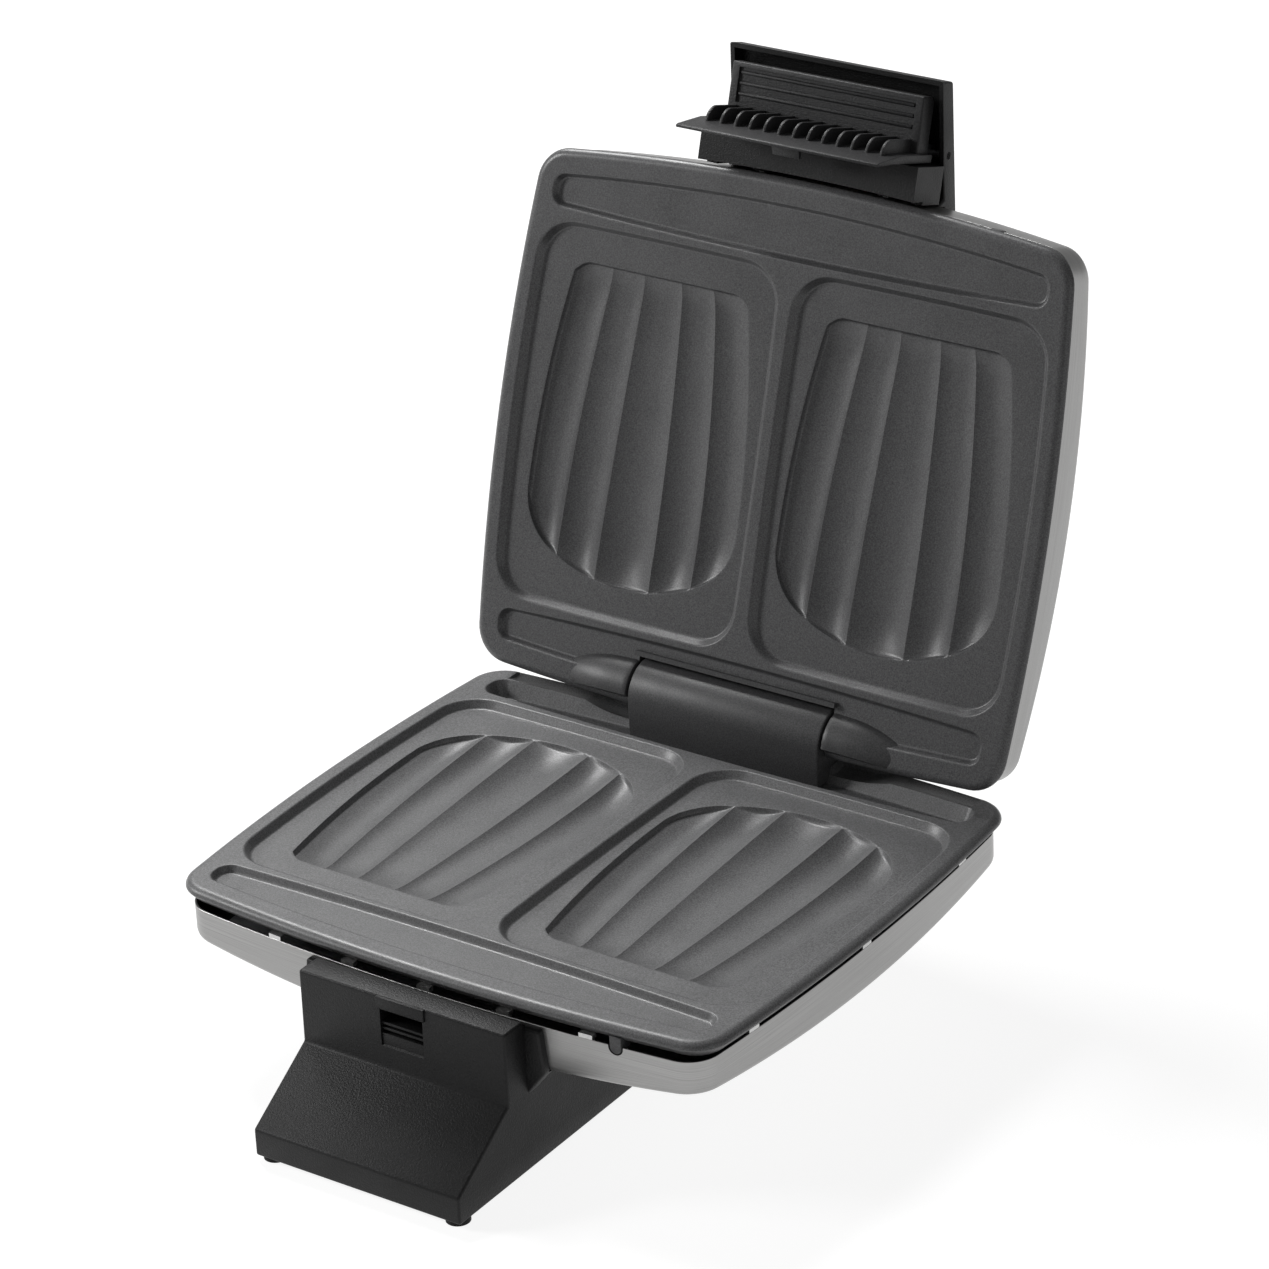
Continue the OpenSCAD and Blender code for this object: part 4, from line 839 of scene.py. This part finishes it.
# %% [markdown]
# ## The latch lever
# The grip is a bar with a thin wide leg that hangs from it, two bored ears on the pivot and a hook
# that catches under the lip of the stand. The fins between leg and grip and the ribs in the grip's
# pad all repeat, so they are left to a node tree in the next step.

# %% Lever body
LATCH_Y, LATCH_Z = -134.8, 26.6           # the pivot, seen on the shut lid
EAR_X, EAR_HALF, EAR_R, EAR_BORE = 41.3, 2, 2.9, 1.75
GRIP_FRONT, GRIP_FOOT, GRIP_HALF = -158.2, 9.7, 46.3
LEG_LINE = [(-134.9, 18.4), (-131.4, 18.4), (-131.4, -13), (-130.6, -23.2), (-131.0, -23.7),
            (-131.7, -23.7), (-132.3, -22.6), (-134.9, -6)]
GRIP_LINE = [(-131.6, GRIP_FOOT), (-131.6, 18.4), (-156.2, 18.4), (GRIP_FRONT, 16.4),
             (GRIP_FRONT, GRIP_FOOT)]
PAD_LINE = [(-156.2, 8), (-156.2, 10.8), (-141.6, 10.8), (-141.6, 8)]
EAR_LINE = [(-137.7, LATCH_Z), (-139.7, 17.4), (-131.4, 17.4), (-131.4, 23.6), (-131.9, LATCH_Z)]
HOOK_LINE = [(-132.4, -13.3), (-126.4, -13.3), (-126.4, -14.5), (-132.4, -17.3)]

leg = section("leg", LEG_LINE, -48.5, 48.5, on_lid, 0.4)
grip = section("grip", GRIP_LINE, -GRIP_HALF, GRIP_HALF, on_lid, 0.9, 4)
cut(grip, section("pad", PAD_LINE, -42.6, 42.6, on_lid))
ears = []
for x in (EAR_X, -EAR_X):
    round_top = arc(LATCH_Y, LATCH_Z, EAR_R, 0, 180, 14)[1:-1]
    ear = section("ear", EAR_LINE + round_top, x - EAR_HALF, x + EAR_HALF, on_lid)
    bore = arc(LATCH_Y, LATCH_Z, EAR_BORE, 0, 360, 32)[:-1]
    ears.append(cut(ear, section("ear_bore", bore, x - 2 * EAR_HALF, x + 2 * EAR_HALF, on_lid)))
hook = section("hook", HOOK_LINE, -6.5, 6.5, on_lid, 0.3, 2)
lever = smooth(join("lever_form", leg, grip, *ears, hook), 30)
print("lever:", len(lever.data.polygons), "faces")

# %% [markdown]
# ## Rows made by nodes
# Fins and ribs repeat along a straight line at an even pitch. A Geometry Nodes tree says that in
# four main nodes: a line of points, one piece on each point, real copies, one finish. Its sizes are
# named inputs, so a row can be made denser or longer without touching the mesh. Array modifiers
# could do it too, but the tree also centres the row by itself.

# %% A node tree that sets one piece in a centred row


def maths(nodes, operation, second=None):
    """A Math node, with its second number set where one is given."""
    node = nodes.new("ShaderNodeMath")
    node.operation = operation
    if second is not None:
        node.inputs[1].default_value = second
    return node


def row_tree():
    tree = bpy.data.node_groups.new("Centred row", "GeometryNodeTree")
    face = tree.interface
    face.new_socket("Geometry", in_out="INPUT", socket_type="NodeSocketGeometry")
    face.new_socket("Count", in_out="INPUT", socket_type="NodeSocketInt")
    face.new_socket("Step", in_out="INPUT", socket_type="NodeSocketVector")
    face.new_socket("Finish", in_out="INPUT", socket_type="NodeSocketMaterial")
    face.new_socket("Geometry", in_out="OUTPUT", socket_type="NodeSocketGeometry")
    n, link = tree.nodes, tree.links.new
    inp, out = n.new("NodeGroupInput"), n.new("NodeGroupOutput")
    line = n.new("GeometryNodeMeshLine")
    less, half = maths(n, "SUBTRACT", 1), maths(n, "MULTIPLY", -0.5)
    back = n.new("ShaderNodeVectorMath")
    back.operation = "SCALE"
    put = n.new("GeometryNodeInstanceOnPoints")
    real = n.new("GeometryNodeRealizeInstances")
    finish = n.new("GeometryNodeSetMaterial")
    link(inp.outputs["Count"], line.inputs["Count"])
    link(inp.outputs["Step"], line.inputs["Offset"])
    link(inp.outputs["Count"], less.inputs[0])
    link(less.outputs[0], half.inputs[0])
    link(inp.outputs["Step"], back.inputs[0])
    link(half.outputs[0], back.inputs["Scale"])
    link(back.outputs[0], line.inputs["Start Location"])
    link(line.outputs["Mesh"], put.inputs["Points"])
    link(inp.outputs["Geometry"], put.inputs["Instance"])
    link(put.outputs["Instances"], real.inputs["Geometry"])
    link(real.outputs["Geometry"], finish.inputs["Geometry"])
    link(inp.outputs["Finish"], finish.inputs["Material"])
    link(finish.outputs["Geometry"], out.inputs["Geometry"])
    return tree


ROW = row_tree()


def in_row(obj, count, step, material):
    """Repeats the object's own mesh in a centred row and leaves a plain mesh."""
    m = obj.modifiers.new("Row", "NODES")
    m.node_group = ROW
    ids = {s.name: s.identifier for s in ROW.interface.items_tree if s.in_out == "INPUT"}
    m[ids["Count"]] = count
    m[ids["Step"]] = step
    m[ids["Finish"]] = material
    return settle(obj)


print("row tree inputs:", [s.name for s in ROW.interface.items_tree if s.in_out == "INPUT"])

# %% [markdown]
# ## Finishes
# Every finish is built from nodes that read the piece's own coordinates in metres, so its grain
# keeps the right size. A small toolbox makes noise, ramps and bumps; each finish is then a few
# lines.

# %% Toolbox for finishes


class Finish:
    """A material in the making: each method adds a few nodes and links them."""

    def __init__(self, name, color, rough, metal=0.0):
        self.mat = bpy.data.materials.new(name)
        self.mat.use_nodes = True
        self.mat.diffuse_color = (*color, 1)
        self.n, self.link = self.mat.node_tree.nodes, self.mat.node_tree.links.new
        self.bsdf = self.n["Principled BSDF"]
        self.bsdf.inputs["Base Color"].default_value = (*color, 1)
        self.bsdf.inputs["Roughness"].default_value = rough
        self.bsdf.inputs["Metallic"].default_value = metal
        self.coord = self.n.new("ShaderNodeTexCoord")

    def noise(self, scale, detail=2.0, stretch=(1, 1, 1), source="Object", rough=0.5):
        """Noise of the given scale; a stretch draws it out into lines."""
        m, t = self.n.new("ShaderNodeMapping"), self.n.new("ShaderNodeTexNoise")
        m.inputs["Scale"].default_value = stretch
        t.inputs["Scale"].default_value = scale
        t.inputs["Detail"].default_value = detail
        t.inputs["Roughness"].default_value = rough
        self.link(self.coord.outputs[source], m.inputs["Vector"])
        self.link(m.outputs["Vector"], t.inputs["Vector"])
        return t.outputs["Fac"]

    def ramp(self, fac, *stops):
        """Turns a factor into the colour between its stops."""
        r = self.n.new("ShaderNodeValToRGB")
        e = r.color_ramp.elements
        while len(e) < len(stops):
            e.new(0.5)
        for i, (pos, col) in enumerate(stops):
            e[i].position = pos
            e[i].color = (*col, 1)
        self.link(fac, r.inputs["Fac"])
        return r.outputs["Color"]

    def spread(self, fac, low, high):
        """Spreads the middle half of a noise over a range of values."""
        r = self.n.new("ShaderNodeMapRange")
        r.inputs["From Min"].default_value, r.inputs["From Max"].default_value = 0.25, 0.75
        r.inputs["To Min"].default_value, r.inputs["To Max"].default_value = low, high
        self.link(fac, r.inputs["Value"])
        return r.outputs["Result"]

    def tint(self, fac, low, high, lo=0.35, hi=0.65):
        self.link(self.ramp(fac, (lo, low), (hi, high)), self.bsdf.inputs["Base Color"])

    def roughness(self, fac, low, high):
        self.link(self.spread(fac, low, high), self.bsdf.inputs["Roughness"])

    def bump(self, fac, depth, strength=1.0, under=None):
        """A bump of the given depth in metres, laid on an earlier one where that is given."""
        b = self.n.new("ShaderNodeBump")
        b.inputs["Distance"].default_value = depth
        b.inputs["Strength"].default_value = strength
        self.link(fac, b.inputs["Height"])
        if under:
            self.link(under, b.inputs["Normal"])
        self.link(b.outputs["Normal"], self.bsdf.inputs["Normal"])
        return b.outputs["Normal"]


print("toolbox ready")

# %% [markdown]
# ## Non-stick coating
# The coating is sprayed on and baked: a dark neutral grey with a fine pebble, a soft sheen and a
# trace of lighter specks. Three noises do it: one at the size of the pebbles for colour and bump,
# one a little wider that waves the film, and a very wide one for the slow change in gloss that a
# sprayed film always has.

# %% Coatings of the plates and of the barrel


def coating(name, dark, light, rough):
    f = Finish(name, light, rough)
    grain = f.noise(1700, 3.0, rough=0.62)
    f.tint(grain, dark, light, 0.34, 0.68)
    f.roughness(f.noise(55, 3.0), rough - 0.05, rough + 0.06)
    film = f.bump(f.noise(420, 2.0), 0.00005, 0.5)
    f.bump(grain, 0.00007, 0.75, film)
    f.bsdf.inputs["Specular IOR Level"].default_value = 0.55
    return f.mat


coat_lower = coating("nonstick_coating", (0.085, 0.085, 0.087), (0.218, 0.219, 0.222), 0.38)
# The lid's copy is the same coating made darker: painted shade on the open lid's face.
coat_lid_painted_shade = coating("nonstick_coating_lid_painted_shade", (0.060, 0.060, 0.062), (0.168, 0.168, 0.171), 0.36)
# The hood and knuckles get a still darker copy of the coating: painted shade on the hinge below the open
# lid.
coat_knuckle_painted_shade = coating("knuckle_coating_painted_shade", (0.036, 0.036, 0.037), (0.096, 0.096, 0.098), 0.42)
# The barrel and both lugs get a darker copy of the coating as well: painted shade on the barrel below the
# lid and on the lugs.
coat_barrel_painted_shade = coating("barrel_coating_painted_shade", (0.042, 0.042, 0.043), (0.110, 0.110, 0.113), 0.43)
print("coatings made")

# %% [markdown]
# ## Brushed stainless steel
# Brushing leaves thousands of fine parallel scratches. On the wall they run along the rim, so the
# noise is stretched along the first coordinate of the pan's own UV map. The scratches change gloss
# and lean the surface a little, which spreads each highlight across the brushing.

# %% Brushed steel


def brushed(name, light, dark, rough):
    f = Finish(name, light, rough, 1.0)
    lines = f.noise(1.0, 4.0, (14, 2600, 1), "UV", 0.7)
    broad = f.noise(1.0, 2.0, (6, 260, 1), "UV")
    f.tint(lines, dark, light, 0.3, 0.7)
    f.roughness(lines, rough - 0.07, rough + 0.1)
    under = f.bump(broad, 0.00002, 0.4)
    f.bump(lines, 0.00003, 0.6, under)
    return f.mat


steel = brushed("brushed_steel", (0.38, 0.378, 0.375), (0.24, 0.238, 0.235), 0.33)
print("steel made")

# %% [markdown]
# ## Black moulded plastic
# The mould's surface is spark eroded, which leaves an even fine grain. Black plastic is never truly
# black: it reflects a little. One fine noise makes the grain, in colour and in bump, and a wide one
# changes the gloss.

# %% Black plastics and rubber


def moulded(name, color, rough, grain=1400, depth=0.0002):
    f = Finish(name, color, rough)
    g = f.noise(grain, 2.0, rough=0.6)
    light = tuple(c * 1.9 + 0.004 for c in color)
    f.tint(g, color, light, 0.35, 0.72)
    f.roughness(f.noise(38, 3.0), rough - 0.05, rough + 0.05)
    f.bump(g, depth, 0.9)
    f.bsdf.inputs["Specular IOR Level"].default_value = 0.27
    return f.mat


plastic = moulded("black_plastic", (0.0040, 0.0040, 0.0042), 0.47)
plastic_lever = moulded("black_plastic_lever", (0.026, 0.026, 0.0268), 0.44)
rubber = moulded("black_rubber", (0.010, 0.010, 0.010), 0.72, 1800, 0.00005)
print("plastics made")

# %% [markdown]
# ## Inner metals, ceramic, sleeves and lenses
# Most of these sit inside the pans and only show when the piece is taken apart, but each still gets
# its own finish: zinc plating with a faint yellow cloudiness, rolled aluminium, a heat-darkened
# element tube, unglazed ceramic, a woven sleeve and clear coloured lenses.

# %% The small finishes


def plated(name, a, b, rough, scale=300, stretch=(1, 1, 1)):
    f = Finish(name, a, rough, 1.0)
    fac = f.noise(scale, 3.0, stretch)
    f.tint(fac, a, b)
    f.roughness(fac, rough - 0.05, rough + 0.08)
    f.bump(fac, 0.00002, 0.5)
    return f.mat


zinc = plated("zinc_plating", (0.50, 0.51, 0.52), (0.62, 0.61, 0.57), 0.3)
aluminium = plated("rolled_aluminium", (0.62, 0.63, 0.64), (0.74, 0.75, 0.76), 0.32, 1.0,
                   (40, 2500, 2500))
element_steel = plated("heat_darkened_steel", (0.09, 0.085, 0.09), (0.17, 0.15, 0.14), 0.45, 160)
tab_steel = plated("tab_steel", (0.48, 0.48, 0.48), (0.62, 0.62, 0.61), 0.38, 700)
pin_steel = plated("pin_steel", (0.42, 0.43, 0.44), (0.55, 0.56, 0.57), 0.25, 1.0, (60, 4000, 4000))


def earthen(name, a, b, rough, scale):
    f = Finish(name, a, rough)
    fac = f.noise(scale, 4.0)
    f.tint(fac, a, b)
    f.bump(fac, 0.00006, 0.7)
    return f.mat


ceramic = earthen("unglazed_ceramic", (0.72, 0.70, 0.64), (0.82, 0.80, 0.74), 0.7, 900)


def woven(name, a, b):
    f = Finish(name, a, 0.75)
    w = f.n.new("ShaderNodeTexWave")
    w.wave_type, w.bands_direction = "BANDS", "DIAGONAL"
    w.inputs["Scale"].default_value = 420
    w.inputs["Distortion"].default_value = 3
    f.link(f.coord.outputs["Object"], w.inputs["Vector"])
    f.tint(w.outputs["Fac"], a, b, 0.2, 0.8)
    f.bump(w.outputs["Fac"], 0.00012, 0.8)
    return f.mat


sleeve = woven("woven_sleeve", (0.55, 0.53, 0.48), (0.78, 0.76, 0.70))


def clear(name, a, b, rough, through):
    f = Finish(name, a, rough)
    fac = f.noise(180, 2.0)
    f.tint(fac, a, b)
    f.roughness(fac, rough, rough + 0.05)
    f.bsdf.inputs["Transmission Weight"].default_value = through
    f.bsdf.inputs["IOR"].default_value = 1.49
    return f.mat


lens = clear("red_lens", (0.34, 0.012, 0.010), (0.44, 0.020, 0.016), 0.12, 0.35)
lamp = clear("lamp_glass", (0.85, 0.66, 0.42), (0.92, 0.78, 0.55), 0.08, 0.6)
print("small finishes made")

# %% [markdown]
# ## Fins and ribs
# Thirteen thin fins stand between leg and grip, each rounded at its lower end like a slice of a
# drum. They give the fingers a hold and keep the lever stiff. Three ribs lie in the pad of the
# grip. Each is made once, about x = 0.

# %% Fins and ribs of the lever
FIN_COUNT, FIN_STEP, FIN_HALF = 13, 0.007, 0.7
RIB_COUNT, RIB_STEP, RIB_R = 3, 4.4, 0.9
RIB_Y, RIB_Z = -149.6, 10.9
fin_line = [(-132.8, 10.4), (-140.4, 10.4), (-140.4, -4.7)] + arc(-133.8, -4.7, 6.6, 180, 270, 14)[1:]
fin = section("lever_fins", fin_line + [(-132.8, -11.3)], -FIN_HALF, FIN_HALF, on_lid, 0.28, 2)
fins = smooth(in_row(fin, FIN_COUNT, (FIN_STEP, 0, 0), plastic_lever), 30)
rib = section("grip_ribs", arc(RIB_Y, RIB_Z, RIB_R, 180, 360, 10), -41.8, 41.8, on_lid, 0.25, 2)
rib_step = on_lid((0, RIB_Y - RIB_STEP, RIB_Z)) - on_lid((0, RIB_Y, RIB_Z))
ribs = smooth(in_row(rib, RIB_COUNT, tuple(rib_step), plastic_lever), 40)
print("fins:", len(fins.data.polygons), "faces; ribs:", len(ribs.data.polygons))

# %% [markdown]
# ## Hand the pieces over
# Each piece gets its finish, rides on its body and stands for the solid that it dresses. The other
# solids keep their exact shape and only get a finish.

# %% Finishes and bodies


def hand_over(obj, material, body, node):
    """Gives the piece its finish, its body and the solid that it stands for."""
    obj.data.materials.clear()
    obj.data.materials.append(material)
    for p in obj.data.polygons:
        p.material_index = 0
    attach(obj, body)
    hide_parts(node)


for piece, coat in ((lower_plate, coat_lower), (barrel, coat_barrel_painted_shade), (lower_lug, coat_barrel_painted_shade)):
    hand_over(piece, coat, "base", "lower_plate")
for piece, coat in ((lid_plate, coat_lid_painted_shade), (lid_hinge, coat_knuckle_painted_shade), (lid_lug, coat_barrel_painted_shade)):
    hand_over(piece, coat, "lid", "lid_plate")
hand_over(lower_pan, steel, "base", "lower_pan")
hand_over(lid_pan, steel, "lid", "lid_pan")
hand_over(pedestal, plastic, "base", "pedestal")
hand_over(handle_cover, plastic, "lid", "handle_cover")
for piece in (lever, fins, ribs):
    hand_over(piece, plastic_lever, "lever", "latch_lever")

CARRIED = {
    "base_cover": plastic, "rubber_feet": rubber, "base_screws": zinc, "cord_bush": rubber,
    "wire_grommet": rubber, "terminal_block": ceramic, "lower_rim_tabs": tab_steel, "plate_screws": zinc,
    "lower_element": element_steel, "lower_clamps": zinc, "lower_clamp_screws": zinc,
    "lower_reflector": aluminium, "thermostat": ceramic, "thermal_fuse": ceramic, "supply_leads": sleeve,
    "lid_lead_base": sleeve, "hinge_pin": pin_steel, "hinge_tube": pin_steel, "lid_rim_tabs": tab_steel,
    "lid_element": element_steel, "lid_clamps": zinc, "lid_clamp_screws": zinc, "lid_reflector": aluminium,
    "lid_screws": zinc, "lid_lead_end": sleeve, "handle_frame": plastic, "handle_screws": zinc,
    "pilot_lenses": lens, "pilot_lamps": lamp, "latch_pin": pin_steel, "latch_spring": zinc,
}
for name, material in CARRIED.items():
    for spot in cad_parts[name].material_slots:
        spot.material = material
print("dressed solids:", len(CARRIED))

# %% [markdown]
# ## Camera
# The viewpoint was worked out from the plate's edges: a long lens, from the front right and above,
# with a slight roll. That work was done in a drawing unit of its own, and one scale takes it to
# real size.

# %% Camera
AZIMUTH, ELEVATION, ROLL = math.radians(35.8856), math.radians(26.5104), math.radians(-2.9578)
UNIT = 0.9643                    # millimetres in one unit of the drawing
FOCAL, FILM, DISTANCE = 143.94, 36, 2.156286

back = Vector((math.sin(AZIMUTH) * math.cos(ELEVATION), -math.cos(AZIMUTH) * math.cos(ELEVATION),
               math.sin(ELEVATION)))
right = Vector((math.cos(AZIMUTH), math.sin(AZIMUTH), 0))
up = back.cross(right)
tilted_right = math.cos(ROLL) * right + math.sin(ROLL) * up
tilted_up = -math.sin(ROLL) * right + math.cos(ROLL) * up
aim_at = Vector((-24.94 * UNIT, (168.96 - 96.5) * UNIT + PLATE_Y, 75.2 + 60 * UNIT)) / 1000
place = aim_at + back * DISTANCE * UNIT
data = bpy.data.cameras.new("Camera")
data.lens, data.sensor_width, data.clip_start, data.clip_end = FOCAL, FILM, 0.05, 60
camera = new_object("Camera", data)
camera.matrix_world = Matrix((
    (tilted_right.x, tilted_up.x, back.x, place.x), (tilted_right.y, tilted_up.y, back.y, place.y),
    (tilted_right.z, tilted_up.z, back.z, place.z), (0, 0, 0, 1)))
bpy.context.scene.camera = camera
print("camera at", tuple(round(v, 3) for v in place))

# %% [markdown]
# ## Floor and background
# A catalogue picture stands on white paper. The floor is pale and really is lit, so that it keeps
# the shadow; a little extra white that only the camera and mirror-like surfaces see makes the paper
# read as white without pouring more light on the object. The world does the same: full white for
# the camera, about a third of it in reflections, and only a faint fill for everything else.

# %% Floor
PAPER_GREY, PAPER_LIFT = 0.3, 0.88

bm = bmesh.new()
bmesh.ops.create_grid(bm, x_segments=8, y_segments=8, size=9)
mesh = bpy.data.meshes.new("floor")
bm.to_mesh(mesh)
bm.free()
floor = new_object("floor", mesh)
paper = bpy.data.materials.new("paper")
paper.use_nodes = True
nodes, link = paper.node_tree.nodes, paper.node_tree.links.new
nodes.remove(nodes["Principled BSDF"])
rays = nodes.new("ShaderNodeLightPath")
camera_or_glossy, any_view = maths(nodes, "MAXIMUM"), maths(nodes, "MAXIMUM")
lift = maths(nodes, "MULTIPLY", PAPER_LIFT)
matt, glow = nodes.new("ShaderNodeBsdfDiffuse"), nodes.new("ShaderNodeEmission")
matt.inputs["Color"].default_value = (PAPER_GREY, PAPER_GREY, PAPER_GREY, 1)
both = nodes.new("ShaderNodeAddShader")
link(rays.outputs["Is Camera Ray"], camera_or_glossy.inputs[0])
link(rays.outputs["Is Glossy Ray"], camera_or_glossy.inputs[1])
link(camera_or_glossy.outputs[0], any_view.inputs[0])
link(rays.outputs["Is Transmission Ray"], any_view.inputs[1])
link(any_view.outputs[0], lift.inputs[0])
link(lift.outputs[0], glow.inputs["Strength"])
link(matt.outputs[0], both.inputs[0])
link(glow.outputs[0], both.inputs[1])
link(both.outputs[0], nodes["Material Output"].inputs["Surface"])
floor.data.materials.append(paper)
print("floor:", round(floor.dimensions.x), "m wide")

# %% World
FILL, GLEAM = 0.09, 0.26    # light on matt surfaces; how far reflections go from there to white

world = bpy.data.worlds.new("Studio")
bpy.context.scene.world = world
world.use_nodes = True
nodes, link = world.node_tree.nodes, world.node_tree.links.new
rays = nodes.new("ShaderNodeLightPath")
straight, gleam = maths(nodes, "MAXIMUM"), maths(nodes, "MULTIPLY_ADD", GLEAM)
strength = nodes.new("ShaderNodeMapRange")
strength.inputs["To Min"].default_value, strength.inputs["To Max"].default_value = FILL, 1.0
link(rays.outputs["Is Camera Ray"], straight.inputs[0])
link(rays.outputs["Is Transmission Ray"], straight.inputs[1])
link(rays.outputs["Is Glossy Ray"], gleam.inputs[0])
link(straight.outputs[0], gleam.inputs[2])
link(gleam.outputs[0], strength.inputs["Value"])
link(strength.outputs["Result"], nodes["Background"].inputs["Strength"])
nodes["Background"].inputs["Color"].default_value = (1, 1, 1, 1)
print("world fill:", FILL)

# %% [markdown]
# ## Lamps
# Three softboxes. The main one hangs behind on the left and rakes over the lower plate, so that
# each flute gets a bright and a dark side. The second shines from the left front into the open lid.
# A weak third one on the right keeps the near side of steel and stand from going black.

# %% Lamps


def softbox(name, at, to, size, watts):
    """A square lamp that looks from one point to another."""
    data = bpy.data.lights.new(name, "AREA")
    data.shape, data.size, data.energy = "SQUARE", size, watts
    box = new_object(name, data)
    box.location = at
    box.rotation_euler = (Vector(to) - Vector(at)).to_track_quat("-Z", "Y").to_euler()


softbox("Upper left", (-1.05, 0.62, 1.6), (0, -0.05, 0.08), 0.5, 26)
softbox("Left front", (-1.75, -0.95, 1.05), (0, 0.05, 0.18), 0.55, 21)
softbox("Right", (1.9, -0.6, 0.7), (0, 0, 0.12), 0.8, 2.0)
bpy.context.scene.view_settings.view_transform = "Standard"
